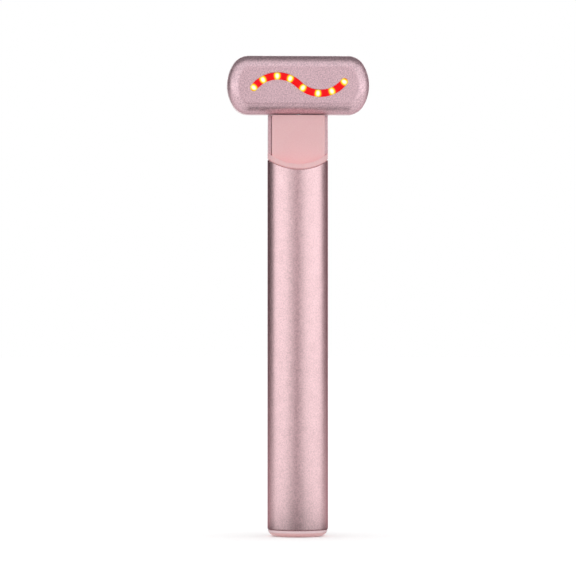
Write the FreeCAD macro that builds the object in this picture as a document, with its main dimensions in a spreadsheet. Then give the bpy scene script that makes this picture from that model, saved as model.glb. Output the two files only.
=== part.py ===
import FreeCAD, Part
import math
import os
import Sketcher

# Heated eye massager wand, in millimetres.
# The origin is the middle of the foot, +Z runs up the handle to the head, and the
# lit face of the head looks along -Y.

doc = FreeCAD.newDocument("eye_massager_wand")

# ---------------------------------------------------------------- driving sizes

SIZES = {
    # handle tube
    "tube_radius": 9.0,
    "tube_wall": 1.0,
    "tube_length": 106.85,
    "tube_edge_break": 0.2,
    "mouth_radius": 14.8,
    "mouth_gap": 0.25,
    "plug_clearance": 0.05,
    # end cap and charging socket
    "cap_height": 1.9,
    "cap_edge_radius": 2.6,
    "cap_gap": 0.2,
    "seam_land": 0.75,
    "cap_plug_length": 8.0,
    "cap_plug_wall": 1.1,
    "seal_section_radius": 0.5,
    "seal_clearance": 0.02,
    "cap_seal_height": 3.5,
    "socket_width": 8.94,
    "socket_thickness": 3.26,
    "socket_length": 6.6,
    "socket_recess": 0.4,
    "socket_wall": 0.3,
    "socket_clearance": 0.12,
    "tongue_width": 6.7,
    "tongue_thickness": 0.7,
    "insert_base": 1.6,
    "charge_post_radius": 1.3,
    "charge_post_offset": 4.9,
    "charge_board_thickness": 1.0,
    "board_clearance": 0.15,
    # inner carrier
    "carrier_clearance": 0.15,
    "carrier_wall": 1.2,
    "carrier_open_depth": 1.6,
    "bulkhead": 1.5,
    "boss_radius": 1.6,
    # battery
    "cell_clearance": 0.15,
    "cell_pad": 1.5,
    "protection_board": 0.8,
    "lead_room": 1.6,
    "lead_radius": 0.45,
    "lead_spread": 10.0,
    "lead_angle": 32.0,
    # main board
    "main_board_length": 38.5,
    "main_board_thickness": 1.0,
    "main_board_side_gap": 0.95,
    "lead_end_height": 1.5,
    "board_end_gap": 0.5,
    "board_screw_inset": 4.5,
    "board_screw_side": 4.5,
    "mcu_size": 5.0,
    "mcu_thickness": 0.9,
    "mcu_height": 14.0,
    "charger_size": 3.0,
    "charger_side": 3.6,
    "charger_height": 20.5,
    "inductor_size": 4.0,
    "inductor_thickness": 2.0,
    "inductor_height": 8.5,
    "plug_half_width": 2.5,
    "plug_height": 3.0,
    "plug_depth": 3.0,
    # screws: small pan heads
    "screw_shank_radius": 0.7,
    "screw_head_radius": 1.2,
    "screw_head_height": 0.8,
    "screw_length": 4.0,
    "screw_slot_width": 0.4,
    "screw_slot_depth": 0.4,
    # power button, switch and status light
    "button_below_mouth": 22.2,
    "button_radius": 3.3,
    "button_clearance": 0.1,
    "button_set_in": 0.2,
    "button_flange_width": 0.6,
    "button_flange_thickness": 0.6,
    "button_flange_depth": 6.5,
    "button_dish_radius": 16.0,
    "button_dish_depth": 0.25,
    "switch_size": 4.5,
    "switch_height": 2.6,
    "plunger_radius": 1.1,
    "plunger_reach": 0.6,
    "plunger_clearance": 0.1,
    "status_below_button": 7.2,
    "light_pipe_radius": 0.6,
    "status_chip": 0.6,
    # neck
    "neck_height": 16.2,
    "neck_plug_length": 10.2,
    "neck_plug_wall": 1.55,
    "collar_height": 1.3,
    "neck_draft": 0.07,
    "neck_rim_width": 0.98,
    "neck_rim_depth": 1.1,
    "neck_seam": 0.15,
    "neck_front": 4.4,
    "neck_plate_break": 0.3,
    "neck_wall": 1.6,
    "neck_top_wall": 3.0,
    "neck_top_depth": 3.9,
    "neck_slope_height": 12.0,
    "clip_room_radius": 3.3,
    "neck_seal_height": 3.0,
    "neck_screw_offset": 5.2,
    "neck_screw_length": 6.0,
    # swivel
    "head_gap": 0.1,
    "shaft_radius": 1.75,
    "shaft_bore": 1.0,
    "shaft_tail": 2.0,
    "running_clearance": 0.03,
    "bush_wall": 0.5,
    "bush_flange_width": 0.25,
    "bush_flange_thickness": 0.6,
    "bush_proud": 0.06,
    "washer_radius": 2.9,
    "washer_thickness": 0.4,
    "clip_gap": 0.1,
    "clip_radius": 2.8,
    "clip_thickness": 0.5,
    "clip_groove_depth": 0.4,
    "clip_mouth": 2.0,
    "stop_pin_radius": 0.45,
    "stop_pin_offset": 3.35,
    "stop_track_depth": 1.0,
    "stop_track_clearance": 0.15,
    "swivel_pad_height": 1.8,
    "swivel_pad_half_width": 6.0,
    "swivel_plate_thickness": 1.0,
    "swivel_plate_half_depth": 1.85,
    "swivel_screw_offset": 4.3,
    "swivel_screw_shank": 0.5,
    "swivel_screw_head": 0.95,
    "swivel_screw_length": 2.0,
    "loom_radius": 0.75,
    # head
    "head_width": 42.2,
    "head_height": 17.5,
    "head_front": 7.6,
    "head_rear": 3.2,
    "head_end_radius": 11.75,
    "head_corner_radius": 5.3,
    "face_bevel_width": 3.1,
    "face_bevel_depth": 1.8,
    "face_break_radius": 1.5,
    "face_edge_radius": 5.0,
    "rear_edge_radius": 2.4,
    "face_thickness": 1.0,
    "face_depth": 3.4,
    "face_step": 1.6,
    "face_rim_width": 3.2,
    "head_wall": 1.2,
    "gasket_thickness": 0.2,
    "gasket_set_in": 0.25,
    # light window: two tangent arcs, which lean at the middle and end short of the posts
    "wave_lean": 45.9,
    "wave_angle": 96.0,
    "window_post_gap": 0.93,
    "window_width": 2.1,
    "window_clearance": 0.05,
    "window_edge_break": 0.15,
    "lens_set_in": 0.3,
    "lens_flange_width": 0.8,
    "lens_flange_thickness": 0.6,
    # parts in the head
    "heater_inset": 3.5,
    "heater_thickness": 0.15,
    "heater_window_gap": 0.15,
    "bead_radius": 0.6,
    "bead_length": 2.2,
    "bead_height": 4.3,
    "light_board_inset": 2.8,
    "light_board_thickness": 0.8,
    "light_board_depth": 1.7,
    "light_chip_size": 1.3,
    "light_chip_height": 0.7,
    "head_post_radius": 1.4,
    "head_post_inset": 4.9,
    "motor_radius": 4.0,
    "motor_thickness": 2.7,
    "motor_pad_thickness": 0.4,
    "motor_gap": 0.6,
    # how far a cutting shape runs past the face that it opens
    "cut_past": 1.0,
}

# Places of the eight lights, in degrees of arc from the middle of the window.
LEFT_LIGHT_ANGLES = (20.2, 45.2, 73.0, 96.0)
RIGHT_LIGHT_ANGLES = (9.3, 39.7, 66.3, 95.7)

# How near, in millimetres, counts as the same place when edges are picked.
NEAR = 0.01

sheet = doc.addObject("Spreadsheet::Sheet", "sizes")
for row, (alias, value) in enumerate(SIZES.items(), 1):
    sheet.set(f"A{row}", alias)
    sheet.set(f"B{row}", str(value))
    sheet.setAlias(f"B{row}", alias)
doc.recompute()

# ------------------------------------------------- places that follow the sizes

TUBE_INNER = "(sizes.tube_radius - sizes.tube_wall)"
PLUG_RADIUS = f"({TUBE_INNER} - sizes.plug_clearance)"
TUBE_BOTTOM = "(sizes.cap_height + sizes.cap_gap)"
MOUTH_LOW = f"({TUBE_BOTTOM} + sizes.tube_length)"
MOUTH_CENTRE = f"({MOUTH_LOW} + sizes.mouth_radius)"
SEAL_GROOVE = f"({TUBE_INNER} - 2 * sizes.seal_section_radius - sizes.seal_clearance)"
CAP_PLUG_TOP = f"({TUBE_BOTTOM} + sizes.cap_plug_length)"
CAP_BORE = f"({PLUG_RADIUS} - sizes.cap_plug_wall)"

SOCKET_BACK = "(sizes.socket_recess + sizes.socket_length)"
CHARGE_BOARD_TOP = f"({SOCKET_BACK} + sizes.charge_board_thickness)"
CHARGE_BOARD_RADIUS = f"({CAP_BORE} - sizes.board_clearance)"

CARRIER_OUTER = f"({TUBE_INNER} - sizes.carrier_clearance)"
CARRIER_INNER = f"({CARRIER_OUTER} - sizes.carrier_wall)"
CELL_RADIUS = f"({CARRIER_INNER} - sizes.cell_clearance)"

NECK_PLUG_BOTTOM = f"({MOUTH_LOW} - sizes.neck_plug_length)"
TOP_BULKHEAD = f"({NECK_PLUG_BOTTOM} - sizes.bulkhead)"
BOARD_FRONT = "sizes.carrier_open_depth"
BOARD_REAR = f"({BOARD_FRONT} + sizes.main_board_thickness)"
BOARD_HALF = f"({CARRIER_OUTER} - sizes.main_board_side_gap)"
BOARD_TOP = f"({TOP_BULKHEAD} - sizes.board_end_gap)"
BOARD_BOTTOM = f"({BOARD_TOP} - sizes.main_board_length)"
LOW_SCREW = f"({BOARD_BOTTOM} + sizes.board_screw_inset)"
HIGH_SCREW = f"({BOARD_TOP} - sizes.board_screw_inset)"
LEAD_END = f"({BOARD_BOTTOM} + sizes.lead_end_height)"

# the cell fills what the board leaves free
MID_BULKHEAD = f"({BOARD_BOTTOM} - sizes.board_end_gap - sizes.bulkhead)"
PROTECTION_TOP = f"({MID_BULKHEAD} - sizes.lead_room)"
CELL_TOP = f"({PROTECTION_TOP} - sizes.protection_board)"
CELL_BOTTOM = f"({CAP_PLUG_TOP} + sizes.bulkhead + sizes.cell_pad)"

BUTTON_Z = f"({MOUTH_LOW} - sizes.button_below_mouth)"
BUTTON_HOLE = "(sizes.button_radius + sizes.button_clearance)"
BUTTON_FACE = "(sizes.tube_radius - sizes.button_set_in)"
FLANGE_TOP = "(sizes.button_flange_depth + sizes.button_flange_thickness)"
SWITCH_TOP = f"({BOARD_REAR} + sizes.switch_height)"
STATUS_Z = f"({BUTTON_Z} - sizes.status_below_button)"

NECK_RADIUS = "(sizes.tube_radius - sizes.neck_draft)"
STEM_HALF = f"({NECK_RADIUS} - sizes.neck_rim_width - sizes.neck_seam)"
COLLAR_LOW = "(sizes.mouth_radius - sizes.mouth_gap)"
COLLAR_TOP = f"({COLLAR_LOW} - sizes.collar_height)"
NECK_TOP = f"({MOUTH_LOW} + sizes.neck_height)"
NECK_CEILING = f"({NECK_TOP} - sizes.neck_top_wall)"
SLOPE_BOTTOM = f"({NECK_TOP} - sizes.neck_slope_height)"

BUSH_BORE = "(sizes.shaft_radius + sizes.running_clearance)"
BUSH_RADIUS = f"({BUSH_BORE} + sizes.bush_wall)"
BUSH_FLANGE = f"({BUSH_RADIUS} + sizes.bush_flange_width)"
BUSH_TOP = f"({NECK_TOP} + sizes.bush_proud)"
WASHER_LOW = f"({NECK_CEILING} - sizes.washer_thickness)"
CLIP_TOP = f"({WASHER_LOW} - sizes.clip_gap)"
CLIP_LOW = f"({CLIP_TOP} - sizes.clip_thickness)"
SHAFT_LOW = f"({CLIP_LOW} - sizes.shaft_tail / 2)"
CLIP_GROOVE = "(sizes.shaft_radius - sizes.clip_groove_depth)"
STOP_TRACK_IN = "(sizes.stop_pin_offset - sizes.stop_pin_radius - sizes.stop_track_clearance)"
STOP_TRACK_OUT = "(sizes.stop_pin_offset + sizes.stop_pin_radius + sizes.stop_track_clearance)"

HEAD_LOW = f"({NECK_TOP} + sizes.head_gap)"
HEAD_Z = f"({HEAD_LOW} + sizes.head_height / 2)"
HEAD_SEAM = "(sizes.head_front - sizes.face_depth)"
BEVEL_BACK = "(sizes.head_front - sizes.face_bevel_depth)"
SHELL_FRONT = f"({HEAD_SEAM} - sizes.gasket_thickness)"
FACE_BACK = "(sizes.head_front - sizes.face_thickness)"
REAR_INSIDE = "(sizes.head_rear - sizes.head_wall)"
PAD_TOP = f"({HEAD_LOW} + sizes.head_wall + sizes.swivel_pad_height)"
PLATE_TOP = f"({PAD_TOP} + sizes.swivel_plate_thickness)"
LENS_BACK = f"({FACE_BACK} - sizes.lens_flange_thickness)"
LIGHT_BOARD_FRONT = f"({FACE_BACK} - sizes.light_board_depth)"
LIGHT_BOARD_BACK = f"({LIGHT_BOARD_FRONT} - sizes.light_board_thickness)"
HEAD_PLUG_LOW = f"({HEAD_Z} - sizes.plug_height / 2)"
HEAD_POST = "(sizes.head_width / 2 - sizes.head_post_inset)"
MOTOR_X = f"({HEAD_POST} - sizes.head_post_radius - sizes.motor_radius - sizes.motor_gap)"

# the window's arcs: the last light on each stands clear of the board's screw
WAVE_LEAN = "sizes.wave_lean * 1 deg"
WAVE_END = "(sizes.wave_lean + sizes.wave_angle) * 1 deg"
WAVE_TIP = (f"({HEAD_POST} - sizes.screw_head_radius - sizes.window_post_gap"
            " - sizes.light_chip_size / 2)")
WAVE_RADIUS = f"({WAVE_TIP} / (cos({WAVE_LEAN}) - cos({WAVE_END})))"
WAVE_OUT = f"({WAVE_RADIUS} * cos({WAVE_LEAN}))"
WAVE_DOWN = f"({WAVE_RADIUS} * sin({WAVE_LEAN}))"

# pairs of places on either side of the middle
CHARGE_POSTS = ("sizes.charge_post_offset", "-sizes.charge_post_offset")
NECK_SCREWS = ("sizes.neck_screw_offset", "-sizes.neck_screw_offset")
SWIVEL_SCREWS = ("sizes.swivel_screw_offset", "-sizes.swivel_screw_offset")
HEAD_POSTS = (HEAD_POST, f"-{HEAD_POST}")
BOARD_SCREWS = (("-sizes.board_screw_side", LOW_SCREW), ("sizes.board_screw_side", HIGH_SCREW))
REACH = "(sizes.tube_radius * 2)"
GROOVE_HALF = "(sizes.seal_section_radius + sizes.seal_clearance)"


# ------------------------------------------------------------- building blocks

X_AXIS = FreeCAD.Vector(1, 0, 0)
Y_AXIS = FreeCAD.Vector(0, 1, 0)
Z_AXIS = FreeCAD.Vector(0, 0, 1)
ORIGIN = FreeCAD.Vector(0, 0, 0)
UPRIGHT = FreeCAD.Rotation()
UPSIDE_DOWN = FreeCAD.Rotation(X_AXIS, 180)
TOWARDS_REAR = FreeCAD.Rotation(X_AXIS, -90)
TOWARDS_RIGHT = FreeCAD.Rotation(Y_AXIS, 90)
FRONT_VIEW = FreeCAD.Rotation(X_AXIS, 90)
SIDE_VIEW = FreeCAD.Rotation(FreeCAD.Vector(1, 1, 1), 120)

pieces = []


def number(expression):
    """The present value of an expression on the sheet."""
    return float(sheet.evalExpression(expression))


def bind(thing, **expressions):
    for size, expression in expressions.items():
        thing.setExpression(size, expression)
    return thing


def place(thing, x="0", y="0", z="0", turn=UPRIGHT):
    thing.Placement = FreeCAD.Placement(ORIGIN, turn)
    for axis, expression in zip("xyz", (x, y, z)):
        thing.setExpression(f"Placement.Base.{axis}", expression)
    return thing


def box(x, y, z):
    """A box between three pairs of places."""
    block = doc.addObject("Part::Box", "block")
    for side, (low, high) in zip(("Length", "Width", "Height"), (x, y, z)):
        block.setExpression(side, f"({high}) - ({low})")
    return place(block, x[0], y[0], z[0])


def rod(radius, low, high, x="0", y="0"):
    """A round bar along Z."""
    bar = doc.addObject("Part::Cylinder", "rod")
    bind(bar, Radius=radius, Height=f"({high}) - ({low})")
    return place(bar, x, y, low)


def tapered_rod(low_radius, high_radius, low, high):
    """A round bar along Z with a draft."""
    bar = doc.addObject("Part::Cone", "tapered_rod")
    bind(bar, Radius1=low_radius, Radius2=high_radius, Height=f"({high}) - ({low})")
    return place(bar, z=low)


def cross_rod(radius, front, rear, x="0", z="0"):
    """A round bar along Y."""
    bar = doc.addObject("Part::Cylinder", "cross_rod")
    bind(bar, Radius=radius, Height=f"({rear}) - ({front})")
    return place(bar, x, front, z, TOWARDS_REAR)


def side_rod(radius, left, right, y="0", z="0"):
    """A round bar along X."""
    bar = doc.addObject("Part::Cylinder", "side_rod")
    bind(bar, Radius=radius, Height=f"({right}) - ({left})")
    return place(bar, left, y, z, TOWARDS_RIGHT)


def cut(base, *tools):
    for tool in tools:
        result = doc.addObject("Part::Cut", "cut")
        result.Base = base
        result.Tool = tool
        base = result
    return base


def join(*shapes):
    result = doc.addObject("Part::MultiFuse", "joined")
    result.Shapes = list(shapes)
    result.Refine = True
    return result


def overlap(*shapes):
    result = doc.addObject("Part::MultiCommon", "overlap")
    result.Shapes = list(shapes)
    return result


def group(*shapes):
    """Like pieces that share one node."""
    result = doc.addObject("Part::Compound", "group")
    result.Links = list(shapes)
    return result


def piece(label, thing):
    """Names a finished sub-part."""
    thing.Label = label
    pieces.append(thing)
    return thing


def new_body(name):
    return doc.addObject("PartDesign::Body", name)


def sketch_on(body, plane, depth="0", height="0"):
    """A sketch on one of the body's own planes, moved out along its normal."""
    drawing = body.newObject("Sketcher::SketchObject", "profile")
    support = [feature for feature in body.Origin.OriginFeatures if feature.Role == plane]
    drawing.AttachmentSupport = [(support[0], "")]
    drawing.MapMode = "FlatFace"
    drawing.setExpression("AttachmentOffset.Base.z", depth)
    drawing.setExpression("AttachmentOffset.Base.y", height)
    return drawing


def fix(drawing, kind, *where, to):
    """Adds one dimension to a sketch and binds it to the sheet."""
    index = drawing.addConstraint(Sketcher.Constraint(kind, *where, number(to)))
    drawing.setExpression(f"Constraints[{index}]", to)


def polygon(drawing, points):
    """A closed outline through points given as pairs of expressions."""
    spots = [FreeCAD.Vector(number(x), number(y), 0) for x, y in points]
    count = len(spots)
    for index, spot in enumerate(spots):
        drawing.addGeometry(Part.LineSegment(spot, spots[(index + 1) % count]), False)
    for index, (x, y) in enumerate(points):
        drawing.addConstraint(Sketcher.Constraint("Coincident", index, 2, (index + 1) % count, 1))
        for kind, axis, expression in (("DistanceX", -2, x), ("DistanceY", -1, y)):
            if expression == "0":
                drawing.addConstraint(Sketcher.Constraint("PointOnObject", index, 1, axis))
            else:
                fix(drawing, kind, index, 1, to=expression)
    return drawing


def turned(name, points):
    """A body of revolution about Z from pairs of radius and height."""
    body = new_body(name)
    drawing = polygon(sketch_on(body, "XZ_Plane"), points)
    turn = body.newObject("PartDesign::Revolution", "turned")
    turn.Profile = drawing
    turn.ReferenceAxis = (drawing, ["V_Axis"])
    turn.Angle = 360
    return body


def pad(body, drawing, length, reverse=False):
    feature = body.newObject("PartDesign::Pad", "pad")
    feature.Profile = drawing
    feature.Reversed = reverse
    feature.setExpression("Length", length)
    return feature


def pocket(body, drawing, depth, reverse=False):
    feature = body.newObject("PartDesign::Pocket", "pocket")
    feature.Profile = drawing
    feature.Reversed = reverse
    feature.setExpression("Length", depth)
    return feature


def round_edges(body, chosen, radius):
    """Rounds the edges of a body whose bounds pass a test."""
    doc.recompute()
    base = body.Tip
    edges = enumerate(base.Shape.Edges, 1)
    names = [f"Edge{index}" for index, edge in edges if chosen(edge.BoundBox)]
    fillet = body.newObject("PartDesign::Fillet", "rounded")
    fillet.Base = (base, names)
    fillet.setExpression("Radius", radius)


def break_edges(base, chosen, size):
    """Bevels the edges of a shape that pass a test on the edge and its middle point."""
    doc.recompute()
    width = number(size)
    breaks = []
    for index, edge in enumerate(base.Shape.Edges, 1):
        spot = edge.valueAt((edge.FirstParameter + edge.LastParameter) / 2)
        if chosen(edge, spot):
            breaks.append((index, width, width))
    bevel = doc.addObject("Part::Chamfer", "edge_breaks")
    bevel.Base = base
    bevel.Edges = breaks
    return bevel


def prism(points, half_width):
    """An outline drawn in the YZ plane, drawn out to both sides along X."""
    drawing = doc.addObject("Sketcher::SketchObject", "side_outline")
    drawing.Placement = FreeCAD.Placement(ORIGIN, SIDE_VIEW)
    polygon(drawing, points)
    return extrude(drawing, X_AXIS, f"({half_width}) * 2", symmetric=True)


def extrude(outline, direction, length, symmetric=False):
    bar = doc.addObject("Part::Extrusion", "extrusion")
    bar.Base = outline
    bar.DirMode = "Custom"
    bar.Dir = direction
    bar.Solid = True
    bar.Symmetric = symmetric
    bar.setExpression("LengthFwd", length)
    return bar


def seal_ring(label, height):
    """An O-ring in a plug's groove, up against the bore of the tube."""
    ring = doc.addObject("Part::Torus", label)
    bind(ring, Radius1=f"{SEAL_GROOVE} + sizes.seal_section_radius",
         Radius2="sizes.seal_section_radius")
    return piece(label, place(ring, z=height))


def groove(height):
    """The four corners of a plug's groove for an O-ring."""
    low = f"{height} - {GROOVE_HALF}"
    high = f"{height} + {GROOVE_HALF}"
    return [(PLUG_RADIUS, low), (SEAL_GROOVE, low), (SEAL_GROOVE, high), (PLUG_RADIUS, high)]


def screw(x, y, z, length, turn=UPRIGHT, shank="sizes.screw_shank_radius",
          head="sizes.screw_head_radius"):
    """A slotted screw whose seat is at x, y, z; the shank runs along the turned Z axis."""
    stem = rod(shank, "0", length)
    cap = rod(head, "-sizes.screw_head_height", "0")
    reach = f"({head} + sizes.cut_past)"
    half = "(sizes.screw_slot_width / 2)"
    slot = box((f"-{reach}", reach), (f"-{half}", half),
               ("-sizes.screw_head_height", "-sizes.screw_head_height + sizes.screw_slot_depth"))
    return place(cut(join(stem, cap), slot), x, y, z, turn)


# ------------------------------------------------------------------ handle tube

def saddle(radius):
    """The crosswise cylinder that shapes the mouth of the tube and the collar."""
    return cross_rod(radius, f"-{REACH}", REACH, z=MOUTH_CENTRE)


def handle_tube():
    """A drawn tube with a saddle-shaped mouth; both outer end edges are broken."""
    tube = turned("tube_stock", [
        (TUBE_INNER, TUBE_BOTTOM), ("sizes.tube_radius", TUBE_BOTTOM),
        ("sizes.tube_radius", MOUTH_CENTRE), (TUBE_INNER, MOUTH_CENTRE)])
    button_hole = cross_rod(BUTTON_HOLE, "0", REACH, z=BUTTON_Z)
    light_hole = cross_rod("sizes.light_pipe_radius", "0", REACH, z=STATUS_Z)
    shaped = cut(tube, saddle("sizes.mouth_radius"), button_hole, light_hole)
    mouth_low = number(MOUTH_LOW) - NEAR
    bottom = number(TUBE_BOTTOM) + NEAR
    outer = number("sizes.tube_radius") - NEAR

    def outer_end(edge, spot):
        at_an_end = spot.z > mouth_low or spot.z < bottom
        curved = not isinstance(edge.Curve, Part.Line)
        return curved and at_an_end and math.hypot(spot.x, spot.y) > outer

    piece("handle_tube", break_edges(shaped, outer_end, "sizes.tube_edge_break"))


# --------------------------------------------------- end cap and charging socket

def stadium(width, thickness, low, high):
    """An upright bar with a flat-sided round-ended section."""
    half = f"(({width} - ({thickness})) / 2)"
    middle = box((f"-{half}", half), (f"-({thickness}) / 2", f"({thickness}) / 2"), (low, high))
    left = rod(f"({thickness}) / 2", low, high, x=f"-{half}")
    right = rod(f"({thickness}) / 2", low, high, x=half)
    return join(middle, left, right)


def end_cap():
    land = f"({TUBE_INNER} + sizes.seam_land)"
    groove_z = f"({TUBE_BOTTOM} + sizes.cap_seal_height)"
    cap = turned("cap_stock", [
        ("0", "0"), ("sizes.tube_radius", "0"), ("sizes.tube_radius", "sizes.cap_height"),
        (land, "sizes.cap_height"), (land, TUBE_BOTTOM), (PLUG_RADIUS, TUBE_BOTTOM),
        *groove(groove_z), (PLUG_RADIUS, CAP_PLUG_TOP), (CAP_BORE, CAP_PLUG_TOP),
        (CAP_BORE, "sizes.cap_height"), ("0", "sizes.cap_height")])
    # the rounding of the foot is larger than the cap's rim is high, so it ends at the seam
    round_foot = turned("round_foot", [
        ("0", "0"), ("sizes.tube_radius", "0"),
        ("sizes.tube_radius", CAP_PLUG_TOP), ("0", CAP_PLUG_TOP)])
    round_edges(round_foot, lambda bounds: bounds.ZMax < NEAR, "sizes.cap_edge_radius")

    opening_width = "(sizes.socket_width + 2 * sizes.socket_clearance)"
    opening_thickness = "(sizes.socket_thickness + 2 * sizes.socket_clearance)"
    guide_wall = "(2 * sizes.cap_plug_wall)"
    guide = stadium(f"({opening_width} + {guide_wall})", f"({opening_thickness} + {guide_wall})",
                    "sizes.cap_height / 2", "sizes.cap_height * 2")
    posts = [rod("sizes.charge_post_radius", "sizes.cap_height / 2", SOCKET_BACK, y=spot)
             for spot in CHARGE_POSTS]
    opening = stadium(opening_width, opening_thickness, "-sizes.cut_past", SOCKET_BACK)
    hole_low = f"{SOCKET_BACK} - sizes.screw_length"
    holes = [rod("sizes.screw_shank_radius", hole_low, CAP_PLUG_TOP, y=spot) for spot in CHARGE_POSTS]
    piece("end_cap", cut(join(overlap(cap, round_foot), guide, *posts), opening, *holes))
    seal_ring("cap_seal", groove_z)


def charge_socket():
    inner_width = "(sizes.socket_width - 2 * sizes.socket_wall)"
    inner_thickness = "(sizes.socket_thickness - 2 * sizes.socket_wall)"
    shell = stadium("sizes.socket_width", "sizes.socket_thickness", "sizes.socket_recess", SOCKET_BACK)
    hollow = stadium(inner_width, inner_thickness, "sizes.socket_recess - sizes.cut_past", SOCKET_BACK)
    piece("charge_socket", cut(shell, hollow))
    insert_low = f"({SOCKET_BACK} - sizes.insert_base)"
    base = stadium(inner_width, inner_thickness, insert_low, SOCKET_BACK)
    tongue = box(("-sizes.tongue_width / 2", "sizes.tongue_width / 2"),
                 ("-sizes.tongue_thickness / 2", "sizes.tongue_thickness / 2"),
                 ("sizes.socket_recess + sizes.tongue_thickness", insert_low))
    piece("charge_socket_insert", join(base, tongue))


def charge_board():
    board = rod(CHARGE_BOARD_RADIUS, SOCKET_BACK, CHARGE_BOARD_TOP)
    shank = "sizes.screw_shank_radius"
    holes = [rod(shank, SOCKET_BACK, CHARGE_BOARD_TOP, y=spot) for spot in CHARGE_POSTS]
    piece("charge_board", cut(board, *holes))
    screws = [screw("0", spot, CHARGE_BOARD_TOP, "sizes.screw_length", UPSIDE_DOWN)
              for spot in CHARGE_POSTS]
    piece("charge_board_screws", group(*screws))


# ------------------------------------------------------------------ inner carrier

def half_disc(radius, low, high):
    """A round plate that stops short of the open rear side of the carrier."""
    disc = rod(radius, low, high)
    return cut(disc, box((f"-{REACH}", REACH), ("sizes.carrier_open_depth", REACH), (low, high)))


def inner_carrier():
    trough = cut(half_disc(CARRIER_OUTER, CAP_PLUG_TOP, NECK_PLUG_BOTTOM),
                 rod(CARRIER_INNER, CAP_PLUG_TOP, NECK_PLUG_BOTTOM))
    lows = (CAP_PLUG_TOP, MID_BULKHEAD, TOP_BULKHEAD)
    bulkheads = [half_disc(CARRIER_OUTER, low, f"({low} + sizes.bulkhead)") for low in lows]
    bosses = [cross_rod("sizes.boss_radius", "-sizes.board_screw_side", BOARD_FRONT, x=x, z=z)
              for x, z in BOARD_SCREWS]
    shank = "sizes.screw_shank_radius"
    hole_front = f"{BOARD_REAR} - sizes.screw_length"
    board_holes = [cross_rod(shank, hole_front, BOARD_FRONT, x=x, z=z) for x, z in BOARD_SCREWS]
    neck_holes = [rod(shank, TOP_BULKHEAD, NECK_PLUG_BOTTOM, x=x) for x in NECK_SCREWS]
    loom_hole = rod("sizes.loom_radius * 2", TOP_BULKHEAD, NECK_PLUG_BOTTOM)
    bosses_inside = overlap(join(*bosses), rod(CARRIER_OUTER, CAP_PLUG_TOP, NECK_PLUG_BOTTOM))
    body = join(trough, *bulkheads, bosses_inside)
    piece("inner_carrier", cut(body, loom_hole, *board_holes, *neck_holes))


def battery():
    foot = f"({CAP_PLUG_TOP} + sizes.bulkhead)"
    piece("battery_pad", rod(f"{CELL_RADIUS} - sizes.cell_clearance", foot, CELL_BOTTOM))
    piece("battery_cell", rod(CELL_RADIUS, CELL_BOTTOM, CELL_TOP))
    piece("protection_board", rod(f"{CELL_RADIUS} - sizes.cell_clearance", CELL_TOP, PROTECTION_TOP))
    depth = f"({BOARD_REAR} + sizes.lead_radius)"
    sides = ("-sizes.boss_radius", "-2 * sizes.boss_radius")
    leads = [rod("sizes.lead_radius", PROTECTION_TOP, LEAD_END, x=x, y=depth) for x in sides]
    piece("battery_leads", group(*leads))


def charge_leads():
    """Two leads from the charge board up beside the cell to the main board."""
    radius = "sizes.lead_radius"
    start = f"({CHARGE_BOARD_RADIUS} - {radius})"
    beside_cell = f"({CELL_RADIUS} + {radius} + sizes.cell_clearance)"
    on_board = f"(({BOARD_REAR} + {radius}) / cos(sizes.lead_angle + sizes.lead_spread))"
    leads = []
    for angle in ("sizes.lead_angle", "(sizes.lead_angle + sizes.lead_spread)"):
        body = new_body("lead")
        route = sketch_on(body, "YZ_Plane")
        spots = [(start, CHARGE_BOARD_TOP), (start, CAP_PLUG_TOP),
                 (beside_cell, f"{CAP_PLUG_TOP} + sizes.lead_room"), (beside_cell, PROTECTION_TOP),
                 (on_board, f"{BOARD_BOTTOM} + sizes.board_end_gap"), (on_board, LEAD_END)]
        runs = list(zip(spots, spots[1:]))
        for index, run in enumerate(runs):
            low, high = [FreeCAD.Vector(number(y), number(z), 0) for y, z in run]
            route.addGeometry(Part.LineSegment(low, high), False)
            if index:
                route.addConstraint(Sketcher.Constraint("Coincident", index - 1, 2, index, 1))
            else:
                fix(route, "DistanceX", index, 1, to=run[0][0])
                fix(route, "DistanceY", index, 1, to=run[0][1])
            fix(route, "DistanceX", index, 2, to=run[1][0])
            fix(route, "DistanceY", index, 2, to=run[1][1])
        section = sketch_on(body, "XY_Plane", depth=CHARGE_BOARD_TOP)
        circle = Part.Circle(FreeCAD.Vector(0, number(start), 0), Z_AXIS, number(radius))
        section.addGeometry(circle, False)
        section.addConstraint(Sketcher.Constraint("PointOnObject", 0, 3, -2))
        fix(section, "DistanceY", 0, 3, to=start)
        fix(section, "Radius", 0, to=radius)
        pipe = body.newObject("PartDesign::AdditivePipe", "lead_run")
        pipe.Profile = section
        pipe.Spine = route
        pipe.Transition = "Round corner"
        body.Placement = FreeCAD.Placement(ORIGIN, FreeCAD.Rotation(Z_AXIS, -number(angle)))
        leads.append(body)
    piece("charge_leads", group(*leads))


# --------------------------------------------------------------------- main board

def main_board():
    board = box((f"-{BOARD_HALF}", BOARD_HALF), (BOARD_FRONT, BOARD_REAR), (BOARD_BOTTOM, BOARD_TOP))
    shank = "sizes.screw_shank_radius"
    holes = [cross_rod(shank, BOARD_FRONT, BOARD_REAR, x=x, z=z) for x, z in BOARD_SCREWS]
    piece("main_board", cut(board, *holes))
    screws = [screw(x, BOARD_REAR, z, "sizes.screw_length", FRONT_VIEW) for x, z in BOARD_SCREWS]
    piece("main_board_screws", group(*screws))


def chip(x, z, size, thickness):
    half = f"({size} / 2)"
    return box((f"{x} - {half}", f"{x} + {half}"), (BOARD_REAR, f"({BOARD_REAR} + {thickness})"),
               (f"{z} - {half}", f"{z} + {half}"))


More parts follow.
